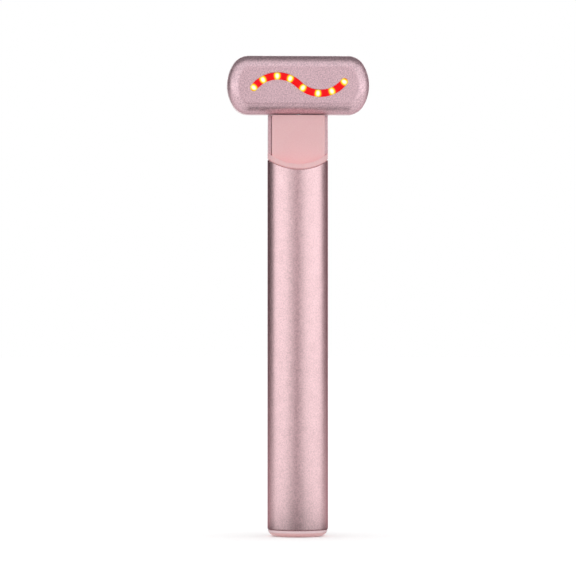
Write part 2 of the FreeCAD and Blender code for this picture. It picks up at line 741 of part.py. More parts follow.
def board_parts():
    controller = chip("0", f"({BOARD_BOTTOM} + sizes.mcu_height)",
                      "sizes.mcu_size", "sizes.mcu_thickness")
    charger = chip("-sizes.charger_side", f"({BOARD_BOTTOM} + sizes.charger_height)",
                   "sizes.charger_size", "sizes.mcu_thickness")
    inductor = chip("sizes.charger_side / 2", f"({BOARD_BOTTOM} + sizes.inductor_height)",
                    "sizes.inductor_size", "sizes.inductor_thickness")
    piece("board_chips", group(controller, charger, inductor))
    plug_top = f"({HIGH_SCREW} - sizes.boss_radius)"
    half = "sizes.plug_half_width"
    piece("board_plug", box((f"-{half}", half), (f"({BOARD_FRONT} - sizes.plug_depth)", BOARD_FRONT),
                            (f"({plug_top} - sizes.plug_height)", plug_top)))


def status_light():
    piece("status_chip", chip("0", STATUS_Z, "(2 * sizes.status_chip)", "sizes.status_chip"))
    pipe_front = f"({BOARD_REAR} + 2 * sizes.status_chip)"
    pipe = cross_rod("sizes.light_pipe_radius", pipe_front, BUTTON_FACE, z=STATUS_Z)
    piece("status_light_pipe", pipe)


# ---------------------------------------------------------- power button and switch

def tact_switch():
    reach = f"({SWITCH_TOP} - sizes.plunger_reach - sizes.plunger_clearance)"
    well = cross_rod("(sizes.plunger_radius + sizes.plunger_clearance)", reach, SWITCH_TOP, z=BUTTON_Z)
    piece("tact_switch", cut(chip("0", BUTTON_Z, "sizes.switch_size", "sizes.switch_height"), well))
    front = f"({SWITCH_TOP} - sizes.plunger_clearance)"
    plunger = cross_rod("sizes.plunger_radius", front, "sizes.button_flange_depth", z=BUTTON_Z)
    piece("switch_plunger", plunger)


def power_button():
    flange_radius = f"({BUTTON_HOLE} + sizes.button_flange_width)"
    flange = cross_rod(flange_radius, "sizes.button_flange_depth", FLANGE_TOP, z=BUTTON_Z)
    stem = cross_rod("sizes.button_radius", "sizes.button_flange_depth", "sizes.tube_radius", z=BUTTON_Z)
    low = f"{BUTTON_Z} - sizes.tube_radius"
    high = f"{BUTTON_Z} + sizes.tube_radius"
    inside_tube = rod(f"({TUBE_INNER} - sizes.button_clearance)", low, high)
    inside_grip = rod(BUTTON_FACE, low, high)
    dish = doc.addObject("Part::Sphere", "dish")
    bind(dish, Radius="sizes.button_dish_radius")
    place(dish, y=f"{BUTTON_FACE} + sizes.button_dish_radius - sizes.button_dish_depth", z=BUTTON_Z)
    cap = join(overlap(flange, inside_tube), overlap(stem, inside_grip))
    piece("power_button", cut(cap, dish))


# --------------------------------------------------------------------------- neck

def rear_slope(shift):
    """What the rear of the neck loses towards the head, moved forwards by shift."""
    top_edge = f"(sizes.neck_top_depth - {shift})"
    low_edge = f"(sizes.tube_radius - {shift})"
    above = f"({NECK_TOP} + sizes.head_gap)"
    return prism([(low_edge, SLOPE_BOTTOM), (REACH, SLOPE_BOTTOM), (REACH, above),
                  (top_edge, above), (top_edge, NECK_TOP)], "sizes.tube_radius")


def neck_outside():
    """The moulded outside of the neck, flush with the tube at its foot and drafted to the top."""
    return tapered_rod("sizes.tube_radius", NECK_RADIUS, MOUTH_LOW, NECK_TOP)


def neck_core():
    groove_z = f"({NECK_PLUG_BOTTOM} + sizes.neck_seal_height)"
    plug = turned("neck_plug", [
        ("0", NECK_PLUG_BOTTOM), (PLUG_RADIUS, NECK_PLUG_BOTTOM), *groove(groove_z),
        (PLUG_RADIUS, NECK_TOP), ("0", NECK_TOP)])
    # the collar: a land inside the seam, and the band that shows, both saddle-shaped
    land = overlap(rod(f"({TUBE_INNER} + sizes.seam_land)", NECK_PLUG_BOTTOM, NECK_TOP),
                   saddle("sizes.mouth_radius"))
    band = overlap(neck_outside(), saddle(COLLAR_LOW))
    lower = cut(join(plug, land, band), saddle(COLLAR_TOP))
    # front plate of the stem, with its two upright edges broken
    front = new_body("stem_front")
    edge = "sizes.neck_plate_break"
    outline = polygon(sketch_on(front, "XY_Plane", depth=MOUTH_LOW), [
        (f"-{STEM_HALF}", "sizes.neck_rim_depth"), (f"-{STEM_HALF}", f"-sizes.neck_front + {edge}"),
        (f"-{STEM_HALF} + {edge}", "-sizes.neck_front"), (f"{STEM_HALF} - {edge}", "-sizes.neck_front"),
        (STEM_HALF, f"-sizes.neck_front + {edge}"), (STEM_HALF, "sizes.neck_rim_depth")])
    pad(front, outline, f"{NECK_TOP} - {MOUTH_LOW}")
    front_clear = box((f"-{STEM_HALF}", STEM_HALF), (f"-{REACH}", "0"), (MOUTH_LOW, NECK_TOP))
    slope_shift = "(sizes.neck_rim_width + sizes.neck_seam)"
    rear = cut(rod(STEM_HALF, MOUTH_LOW, NECK_TOP), rear_slope(slope_shift), front_clear)
    stem = overlap(join(front, rear), saddle(f"(({COLLAR_LOW} + {COLLAR_TOP}) / 2)"))
    solid = join(lower, stem)
    # inside: bore of the plug, room for the retaining clip, hole for the bush
    core_half = f"({STEM_HALF} - sizes.neck_wall)"
    core_front = "(sizes.neck_front - sizes.neck_wall)"
    bore_radius = f"({PLUG_RADIUS} - sizes.neck_plug_wall)"
    bore = rod(bore_radius, NECK_PLUG_BOTTOM, MOUTH_LOW)
    room = box((f"-{core_half}", core_half), (f"-{core_front}", core_front),
               (NECK_PLUG_BOTTOM, NECK_CEILING))
    clip_room = rod("sizes.clip_room_radius", NECK_PLUG_BOTTOM, NECK_CEILING)
    bush_hole = rod(BUSH_RADIUS, NECK_CEILING, NECK_TOP)
    bush_seat = rod(BUSH_FLANGE, f"{BUSH_TOP} - sizes.bush_flange_thickness", NECK_TOP)
    hollow = cut(solid, join(bore, room, clip_room), bush_hole, bush_seat, stop_track())
    bosses = [overlap(rod("sizes.boss_radius", NECK_PLUG_BOTTOM, MOUTH_LOW, x=x),
                      rod(bore_radius, NECK_PLUG_BOTTOM, MOUTH_LOW)) for x in NECK_SCREWS]
    hole_top = f"{TOP_BULKHEAD} + sizes.neck_screw_length"
    holes = [rod("sizes.screw_shank_radius", NECK_PLUG_BOTTOM, hole_top, x=x) for x in NECK_SCREWS]
    piece("neck_core", cut(join(hollow, *bosses), *holes))
    seal_ring("neck_seal", groove_z)
    screws = [screw(x, "0", TOP_BULKHEAD, "sizes.neck_screw_length") for x in NECK_SCREWS]
    piece("neck_screws", group(*screws))


def stop_track():
    """The half-ring groove in the top of the neck that the stop pin runs in."""
    low = f"({NECK_TOP} - sizes.stop_track_depth)"
    track = cut(rod(STOP_TRACK_OUT, low, NECK_TOP), rod(STOP_TRACK_IN, low, NECK_TOP))
    margin = "(sizes.stop_pin_radius + sizes.stop_track_clearance)"
    return cut(track, box((f"-{REACH}", REACH), (margin, REACH), (low, NECK_TOP)))


def neck_rear_shell():
    """The half shell behind the stem; it stands on the collar."""
    inner_half = f"({STEM_HALF} + sizes.neck_seam)"
    outer = cut(neck_outside(), rear_slope("0"))
    inner = cut(rod(inner_half, MOUTH_LOW, NECK_TOP), rear_slope("sizes.neck_rim_width"))
    inner_front = box((f"-{inner_half}", inner_half), (f"-{REACH}", "0"), (MOUTH_LOW, NECK_TOP))
    front = box((f"-{REACH}", REACH), (f"-{REACH}", "-sizes.neck_rim_depth"), (MOUTH_LOW, NECK_TOP))
    shell = cut(outer, inner, inner_front, front)
    piece("neck_rear_shell", overlap(shell, saddle(COLLAR_TOP)))


# ------------------------------------------------------------------------- swivel

def swivel():
    bush_flange_low = f"({BUSH_TOP} - sizes.bush_flange_thickness)"
    piece("swivel_bush", turned("bush_body", [
        (BUSH_BORE, NECK_CEILING), (BUSH_RADIUS, NECK_CEILING), (BUSH_RADIUS, bush_flange_low),
        (BUSH_FLANGE, bush_flange_low), (BUSH_FLANGE, BUSH_TOP), (BUSH_BORE, BUSH_TOP)]))
    piece("friction_washer", turned("washer_body", [
        (BUSH_BORE, WASHER_LOW), ("sizes.washer_radius", WASHER_LOW),
        ("sizes.washer_radius", NECK_CEILING), (BUSH_BORE, NECK_CEILING)]))
    ring = turned("clip_body", [
        (CLIP_GROOVE, CLIP_LOW), ("sizes.clip_radius", CLIP_LOW),
        ("sizes.clip_radius", CLIP_TOP), (CLIP_GROOVE, CLIP_TOP)])
    mouth = box(("-sizes.clip_mouth / 2", "sizes.clip_mouth / 2"), ("0", "sizes.clip_radius"),
                (CLIP_LOW, CLIP_TOP))
    piece("retaining_clip", cut(ring, mouth))
    shaft = turned("shaft_body", [
        ("sizes.shaft_bore", SHAFT_LOW), ("sizes.shaft_radius", SHAFT_LOW),
        ("sizes.shaft_radius", CLIP_LOW), (CLIP_GROOVE, CLIP_LOW), (CLIP_GROOVE, CLIP_TOP),
        ("sizes.shaft_radius", CLIP_TOP), ("sizes.shaft_radius", PLATE_TOP),
        ("sizes.shaft_bore", PLATE_TOP)])
    half_width = "sizes.swivel_pad_half_width"
    half_depth = "sizes.swivel_plate_half_depth"
    plate = box((f"-{half_width}", half_width), (f"-{half_depth}", half_depth), (PAD_TOP, PLATE_TOP))
    shank = "sizes.swivel_screw_shank"
    holes = [rod(shank, PAD_TOP, PLATE_TOP, x=x) for x in SWIVEL_SCREWS]
    bore = rod("sizes.shaft_bore", PAD_TOP, PLATE_TOP)
    piece("swivel_spindle", cut(join(shaft, plate), bore, *holes))
    screws = [screw(x, "0", PLATE_TOP, "sizes.swivel_screw_length", UPSIDE_DOWN, shank,
                    "sizes.swivel_screw_head") for x in SWIVEL_SCREWS]
    piece("swivel_screws", group(*screws))
    pin_low = f"({NECK_TOP} - sizes.stop_track_depth + sizes.stop_track_clearance)"
    piece("stop_pin", rod("sizes.stop_pin_radius", pin_low, PAD_TOP, y="-sizes.stop_pin_offset"))
    loom_low = f"({HIGH_SCREW} - sizes.boss_radius + sizes.board_end_gap)"
    piece("swivel_leads", rod("sizes.loom_radius", loom_low, HEAD_PLUG_LOW))


# --------------------------------------------------------------------------- head

def head_outline(drawing, inset):
    """Two straight sides, four corner arcs and two large end arcs, all tangent."""
    end = f"(sizes.head_end_radius - {inset})"
    corner = f"(sizes.head_corner_radius - {inset})"
    end_x = number("sizes.head_width / 2 - sizes.head_end_radius")
    rise = number("sizes.head_height / 2 - sizes.head_corner_radius")
    reach = number("sizes.head_end_radius - sizes.head_corner_radius")
    corner_x = end_x + math.sqrt(reach ** 2 - rise ** 2)
    lean = math.atan2(rise, corner_x - end_x)
    half_turn = math.pi
    quarter = math.pi / 2
    side = number(f"sizes.head_height / 2 - {inset}")
    arcs = [
        (end_x, 0, end, -lean, lean),
        (corner_x, rise, corner, lean, quarter),
        None,
        (-corner_x, rise, corner, quarter, half_turn - lean),
        (-end_x, 0, end, half_turn - lean, half_turn + lean),
        (-corner_x, -rise, corner, half_turn + lean, half_turn + quarter),
        None,
        (corner_x, -rise, corner, half_turn + quarter, 2 * half_turn - lean),
    ]
    for index, arc in enumerate(arcs):
        if arc:
            x, y, radius, first, last = arc
            circle = Part.Circle(FreeCAD.Vector(x, y, 0), Z_AXIS, number(radius))
            drawing.addGeometry(Part.ArcOfCircle(circle, first, last), False)
        else:
            sign = 1 if index == 2 else -1
            start = FreeCAD.Vector(sign * corner_x, sign * side, 0)
            end_point = FreeCAD.Vector(-start.x, start.y, 0)
            drawing.addGeometry(Part.LineSegment(start, end_point), False)
    count = len(arcs)
    for index in range(count):
        drawing.addConstraint(Sketcher.Constraint("Tangent", index, 2, (index + 1) % count, 1))
    for index, arc in enumerate(arcs):
        if arc:
            fix(drawing, "Radius", index, to=arc[2])
    for index, sign in ((0, ""), (4, "-")):
        drawing.addConstraint(Sketcher.Constraint("PointOnObject", index, 3, -1))
        fix(drawing, "DistanceX", index, 3, to=f"{sign}(sizes.head_width / 2 - sizes.head_end_radius)")
    for index, sign in ((2, ""), (6, "-")):
        drawing.addConstraint(Sketcher.Constraint("Horizontal", index))
        fix(drawing, "DistanceY", index, 1, to=f"{sign}(sizes.head_height / 2 - {inset})")
    return drawing


def head_slab(name, inset, front, thickness):
    """A slab with the outline of the head, running back from front."""
    body = new_body(name)
    outline = head_outline(sketch_on(body, "XZ_Plane", depth=front, height=HEAD_Z), inset)
    pad(body, outline, thickness, reverse=True)
    return body


def round_face(body, y, radius):
    """Rounds the edges of the body that lie in the plane at y."""
    depth = number(y)
    round_edges(body, lambda b: abs(b.YMin - depth) < NEAR and abs(b.YMax - depth) < NEAR, radius)


def wave_bar(half_width, front, rear):
    """A bar along the light window; front and rear are distances before the axis."""
    path = doc.addObject("Sketcher::SketchObject", "wave_path")
    place(path, y=f"-({front})", z=HEAD_Z, turn=FRONT_VIEW)
    begin = math.radians(number("sizes.wave_lean"))
    finish = begin + math.radians(number("sizes.wave_angle"))
    radius = number(WAVE_RADIUS)
    for sign, turn in ((-1, 0), (1, math.pi)):
        centre = FreeCAD.Vector(sign * number(WAVE_OUT), sign * number(WAVE_DOWN), 0)
        circle = Part.Circle(centre, Z_AXIS, radius)
        path.addGeometry(Part.ArcOfCircle(circle, begin + turn, finish + turn), False)
    for index, sign in ((0, "-"), (1, "")):
        fix(path, "DistanceX", index, 3, to=f"{sign}{WAVE_OUT}")
        fix(path, "DistanceY", index, 3, to=f"{sign}{WAVE_DOWN}")
        path.addConstraint(Sketcher.Constraint("Coincident", index, 1, -1, 1))
        fix(path, "DistanceX", index, 2, to=f"{sign}{WAVE_TIP}")
    strip = doc.addObject("Part::Offset2D", "wave_strip")
    strip.Source = path
    strip.Fill = True
    strip.setExpression("Value", half_width)
    return extrude(strip, Y_AXIS, f"({front}) - ({rear})")


def rounded_head(name):
    """The outside of the whole head, before the seam divides it: bevelled in front, then rounded."""
    body = head_slab(name, "0", BEVEL_BACK, f"{BEVEL_BACK} + sizes.head_rear")
    depths = ((BEVEL_BACK, "0"), ("sizes.head_front", "sizes.face_bevel_width"))
    rim, face = [head_outline(sketch_on(body, "XZ_Plane", depth=depth, height=HEAD_Z), inset)
                 for depth, inset in depths]
    bevel = body.newObject("PartDesign::AdditiveLoft", "bevel")
    bevel.Profile = rim
    bevel.Sections = [face]
    bevel.Ruled = True
    round_face(body, f"-{BEVEL_BACK}", "sizes.face_edge_radius")
    round_face(body, "-sizes.head_front", "sizes.face_break_radius")
    round_face(body, "sizes.head_rear", "sizes.rear_edge_radius")
    return body


def head_block(front, rear):
    """A block round the head; front and rear are distances before the axis."""
    return box(("-sizes.head_width", "sizes.head_width"), (f"-({front})", f"-({rear})"),
               (f"({HEAD_LOW} - sizes.cut_past)", f"({HEAD_LOW} + sizes.head_height + sizes.cut_past)"))


def head_front_plate():
    tray = rounded_head("face_stock")
    steps = (("sizes.head_wall", f"({FACE_BACK} - sizes.face_step)"),
             ("sizes.face_rim_width", FACE_BACK))
    for inset, front in steps:
        outline = head_outline(sketch_on(tray, "XZ_Plane", depth=HEAD_SEAM, height=HEAD_Z), inset)
        pocket(tray, outline, f"{front} - {HEAD_SEAM}", reverse=True)
    window = wave_bar("sizes.window_width / 2", "sizes.head_front + sizes.cut_past",
                      f"({FACE_BACK} - sizes.cut_past)")
    face = -number("sizes.head_front")
    reach_x = number(f"{WAVE_OUT} + {WAVE_RADIUS} + sizes.window_width / 2")
    reach_z = number(f"{WAVE_RADIUS} - {WAVE_DOWN} + sizes.window_width / 2")
    middle = number(HEAD_Z)

    def window_edge(edge, spot):
        near_window = abs(spot.x) < reach_x and abs(spot.z - middle) < reach_z + NEAR
        return near_window and abs(spot.y - face) < NEAR

    behind = head_block(HEAD_SEAM, "-sizes.head_rear - sizes.cut_past")
    plate = cut(tray, behind, window)
    piece("head_front_plate", break_edges(plate, window_edge, "sizes.window_edge_break"))


def head_rear_shell():
    shell = rounded_head("rear_stock")
    inside = sketch_on(shell, "XZ_Plane", depth=SHELL_FRONT, height=HEAD_Z)
    pocket(shell, head_outline(inside, "sizes.head_wall"), f"{SHELL_FRONT} + {REAR_INSIDE}")
    half_width = "sizes.swivel_pad_half_width"
    swivel_pad = box((f"-{half_width}", half_width), (f"-{SHELL_FRONT}", REAR_INSIDE),
                     (f"{HEAD_LOW} + sizes.head_wall / 2", PAD_TOP))
    post_front = f"-{LIGHT_BOARD_BACK}"
    posts = [cross_rod("sizes.head_post_radius", post_front, REAR_INSIDE, x=x, z=HEAD_Z)
             for x in HEAD_POSTS]
    shaft_hole = rod(BUSH_BORE, NECK_TOP, PAD_TOP)
    pin_hole = rod("sizes.stop_pin_radius", NECK_TOP, PAD_TOP, y="-sizes.stop_pin_offset")
    screw_low = f"{PLATE_TOP} - sizes.swivel_screw_length"
    screw_holes = [rod("sizes.swivel_screw_shank", screw_low, PAD_TOP, x=x) for x in SWIVEL_SCREWS]
    hole_rear = f"-{LIGHT_BOARD_FRONT} + sizes.screw_length"
    post_holes = [cross_rod("sizes.screw_shank_radius", post_front, hole_rear, x=x, z=HEAD_Z)
                  for x in HEAD_POSTS]
    before = head_block("sizes.head_front + sizes.cut_past", SHELL_FRONT)
    solid = join(cut(shell, before), swivel_pad, *posts)
    piece("head_rear_shell", cut(solid, shaft_hole, pin_hole, *screw_holes, *post_holes))


def head_gasket():
    ring = head_slab("gasket_stock", "sizes.gasket_set_in", HEAD_SEAM, "sizes.gasket_thickness")
    outline = head_outline(sketch_on(ring, "XZ_Plane", depth=HEAD_SEAM, height=HEAD_Z), "sizes.head_wall")
    pocket(ring, outline, "sizes.gasket_thickness")
    piece("head_gasket", ring)


def light_lens():
    front = "(sizes.head_front - sizes.lens_set_in)"
    bar = wave_bar("(sizes.window_width / 2 - sizes.window_clearance)", front, FACE_BACK)
    flange = wave_bar("(sizes.window_width / 2 + sizes.lens_flange_width)", FACE_BACK, LENS_BACK)
    piece("light_lens", join(bar, flange))


def heater():
    film_back = f"({FACE_BACK} - sizes.heater_thickness)"
    film = head_slab("film_stock", "sizes.heater_inset", FACE_BACK, "sizes.heater_thickness")
    gap = "(sizes.window_width / 2 + sizes.lens_flange_width + sizes.heater_window_gap)"
    window = wave_bar(gap, f"({FACE_BACK} + sizes.cut_past)", f"({film_back} - sizes.cut_past)")
    piece("heater_film", cut(film, window))
    half = "(sizes.bead_length / 2)"
    bead_y = f"-{film_back} + sizes.bead_radius"
    bead_z = f"{HEAD_Z} + sizes.bead_height"
    piece("heat_sensor", side_rod("sizes.bead_radius", f"-{half}", half, y=bead_y, z=bead_z))


def light_board():
    board = head_slab("board_stock", "sizes.light_board_inset", LIGHT_BOARD_FRONT,
                      "sizes.light_board_thickness")
    front = f"-{LIGHT_BOARD_FRONT}"
    holes = [cross_rod("sizes.screw_shank_radius", front, f"-{LIGHT_BOARD_BACK}", x=x, z=HEAD_Z)
             for x in HEAD_POSTS]
    piece("light_board", cut(board, *holes))
    screws = [screw(x, front, HEAD_Z, "sizes.screw_length", TOWARDS_REAR) for x in HEAD_POSTS]
    piece("light_board_screws", group(*screws))
    half = "sizes.plug_half_width"
    piece("head_plug", box((f"-{half}", half), (f"-{LIGHT_BOARD_BACK}", "sizes.loom_radius"),
                           (HEAD_PLUG_LOW, f"({HEAD_PLUG_LOW} + sizes.plug_height)")))


def light_chips():
    """Eight lights along the window, four on each arc."""
    half = "(sizes.light_chip_size / 2)"
    tip = f"-({LIGHT_BOARD_FRONT} + sizes.light_chip_height)"
    chips = []
    for sign, angles in (("-", LEFT_LIGHT_ANGLES), ("", RIGHT_LIGHT_ANGLES)):
        for angle in angles:
            bearing = f"({WAVE_LEAN} + {angle} deg)"
            x = f"{sign}({WAVE_OUT} - {WAVE_RADIUS} * cos({bearing}))"
            z = f"({HEAD_Z} {sign or '+'} ({WAVE_DOWN} - {WAVE_RADIUS} * sin({bearing})))"
            chips.append(box((f"{x} - {half}", f"{x} + {half}"), (tip, f"-{LIGHT_BOARD_FRONT}"),
                             (f"{z} - {half}", f"{z} + {half}")))
    piece("light_chips", group(*chips))


def vibration_motor():
    motor_rear = f"({REAR_INSIDE} - sizes.motor_pad_thickness)"
    motor_front = f"({motor_rear} - sizes.motor_thickness)"
    pad_radius = "(sizes.motor_radius - sizes.motor_pad_thickness)"
    piece("motor_pad", cross_rod(pad_radius, motor_rear, REAR_INSIDE, x=MOTOR_X, z=HEAD_Z))
    motor = cross_rod("sizes.motor_radius", motor_front, motor_rear, x=MOTOR_X, z=HEAD_Z)
    piece("vibration_motor", motor)


# ------------------------------------------------------------------ build and write

def check():
    """Stops if any object failed or any sub-part has no valid shape."""
    doc.recompute()
    for thing in doc.Objects:
        if "Invalid" in thing.State or "Error" in thing.State:
            raise SystemExit(f"{thing.Label} failed: {thing.State}")
    for thing in pieces:
        if thing.Shape.isNull() or not thing.Shape.isValid() or not thing.Shape.Solids:
            raise SystemExit(f"{thing.Label} has no valid solid")


def write():
    os.makedirs("parts", exist_ok=True)
    for thing in pieces:
        thing.Shape.exportStep(f"parts/{thing.Label}.step")
        print(f"{thing.Label}: {len(thing.Shape.Solids)} solids, {thing.Shape.Volume:.2f} mm3")


for make in (
    handle_tube, end_cap, charge_socket, charge_board, inner_carrier, battery, charge_leads,
    main_board, board_parts, status_light, tact_switch, power_button,
    neck_core, neck_rear_shell, swivel,
    head_front_plate, head_rear_shell, head_gasket, light_lens, heater, light_board, light_chips,
    vibration_motor,
):
    make()
check()
write()
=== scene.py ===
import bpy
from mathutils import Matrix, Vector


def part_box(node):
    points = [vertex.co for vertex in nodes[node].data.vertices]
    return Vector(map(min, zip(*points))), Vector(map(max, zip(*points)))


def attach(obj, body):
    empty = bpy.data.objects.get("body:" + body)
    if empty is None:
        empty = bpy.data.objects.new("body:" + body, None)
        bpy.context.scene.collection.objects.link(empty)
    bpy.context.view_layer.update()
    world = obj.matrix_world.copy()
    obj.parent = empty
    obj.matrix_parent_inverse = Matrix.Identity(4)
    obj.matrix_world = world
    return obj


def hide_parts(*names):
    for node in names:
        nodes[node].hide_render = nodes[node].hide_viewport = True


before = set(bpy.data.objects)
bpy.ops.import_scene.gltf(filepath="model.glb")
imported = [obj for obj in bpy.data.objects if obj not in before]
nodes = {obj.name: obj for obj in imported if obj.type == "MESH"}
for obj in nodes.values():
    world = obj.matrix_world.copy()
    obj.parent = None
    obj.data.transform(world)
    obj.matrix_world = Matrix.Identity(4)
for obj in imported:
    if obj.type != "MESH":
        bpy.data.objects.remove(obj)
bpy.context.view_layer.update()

import math

import bmesh
import bpy
import mathutils

mm = 0.001  # the object's lengths are written in millimetres and turned to metres with this


def hexToLinear(code):
    # "#RRGGBB" in sRGB becomes linear red, green and blue, with full alpha
    channels = [int(code[place:place + 2], 16) / 255 for place in (1, 3, 5)]
    return [c / 12.92 if c <= 0.04045 else ((c + 0.055) / 1.055) ** 2.4 for c in channels] + [1.0]


def addNode(tree, kind, settings=None, inputs=None, stops=None):
    # an input is a value or another node's socket; stops are a colour ramp's places and colours
    node = tree.nodes.new(kind)
    for name, value in (settings or {}).items():
        setattr(node, name, value)
    for key, value in (inputs or {}).items():
        if isinstance(value, bpy.types.NodeSocket):
            tree.links.new(value, node.inputs[key])
        else:
            node.inputs[key].default_value = value
    if stops:
        elements = node.color_ramp.elements
        while len(elements) < len(stops):
            elements.new(0.5)
        for element, (position, code) in zip(elements, stops):
            element.position = position
            element.color = hexToLinear(code)
    return node


def placeObject(name, data):
    # an object at the origin, unturned, with this data
    item = bpy.data.objects.new(name, data)
    bpy.context.collection.objects.link(item)
    return item


def startMaterial(name):
    # an empty material, and the place on the piece that its patterns follow
    material = bpy.data.materials.new(name)
    material.use_nodes = True
    tree = material.node_tree
    tree.nodes.clear()
    place = addNode(tree, "ShaderNodeTexCoord").outputs["Object"]
    return material, tree, place


grain = {
    "detail": 2.0, "cloudDetail": 1.0, "cloudShare": 0.35,
    "darkAt": 0.35, "lightAt": 0.65,  # where the mixed noise reaches the dark and the light colour
    "smoothAt": 0.3, "roughAt": 0.7,  # where the fine noise reaches the lower and the upper roughness
    "bumpStrength": 0.6,
}


def grainyFinish(name, look):
    # a fine grain of one size, with slow cloudiness over it: what most of the pieces have
    material, tree, place = startMaterial(name)
    fine = addNode(tree, "ShaderNodeTexNoise", inputs={
        "Vector": place, "Scale": 1 / (look["grainMm"] * mm), "Detail": grain["detail"]})
    clouds = addNode(tree, "ShaderNodeTexNoise", inputs={
        "Vector": place, "Scale": 1 / (look["cloudMm"] * mm), "Detail": grain["cloudDetail"]})
    mixed = addNode(tree, "ShaderNodeMix", {"data_type": "FLOAT"}, {
        "Factor": look.get("cloudShare", grain["cloudShare"]),
        "A": fine.outputs["Fac"], "B": clouds.outputs["Fac"]})
    colour = addNode(tree, "ShaderNodeValToRGB", inputs={"Fac": mixed.outputs["Result"]}, stops=[
        (grain["darkAt"], look["dark"]), (grain["lightAt"], look["light"])]).outputs["Color"]
    for start, end, code in look.get("bands", []):
        # another colour from a height upwards, used for the end cap's painted sheen and painted seam
        # shade; the grain makes its edge wander a little
        height = addNode(tree, "ShaderNodeSeparateXYZ", inputs={"Vector": place})
        wander = addNode(tree, "ShaderNodeMath", {"operation": "MULTIPLY_ADD"}, {
            0: fine.outputs["Fac"], 1: look["wanderMm"] * mm, 2: height.outputs["Z"]})
        share = addNode(tree, "ShaderNodeMapRange", inputs={
            "Value": wander.outputs["Value"], "From Min": start * mm, "From Max": end * mm})
        band = addNode(tree, "ShaderNodeMix", {"data_type": "RGBA"}, {
            "Factor": share.outputs["Result"], 6: colour, 7: hexToLinear(code)})  # its colour inputs
        colour = band.outputs[2]  # its colour output
    rough = addNode(tree, "ShaderNodeMapRange", inputs={
        "Value": fine.outputs["Fac"], "From Min": grain["smoothAt"], "From Max": grain["roughAt"],
        "To Min": look["roughness"][0], "To Max": look["roughness"][1]})
    bump = addNode(tree, "ShaderNodeBump", inputs={
        "Height": fine.outputs["Fac"], "Distance": look["bumpMm"] * mm,
        "Strength": grain["bumpStrength"]})
    shader = addNode(tree, "ShaderNodeBsdfPrincipled", inputs={
        "Base Color": colour, "Roughness": rough.outputs["Result"], "Normal": bump.outputs["Normal"],
        "Metallic": look.get("metallic", 0.0), **look.get("sockets", {})})
    addNode(tree, "ShaderNodeOutputMaterial", inputs={"Surface": shader.outputs["BSDF"]})
    return material


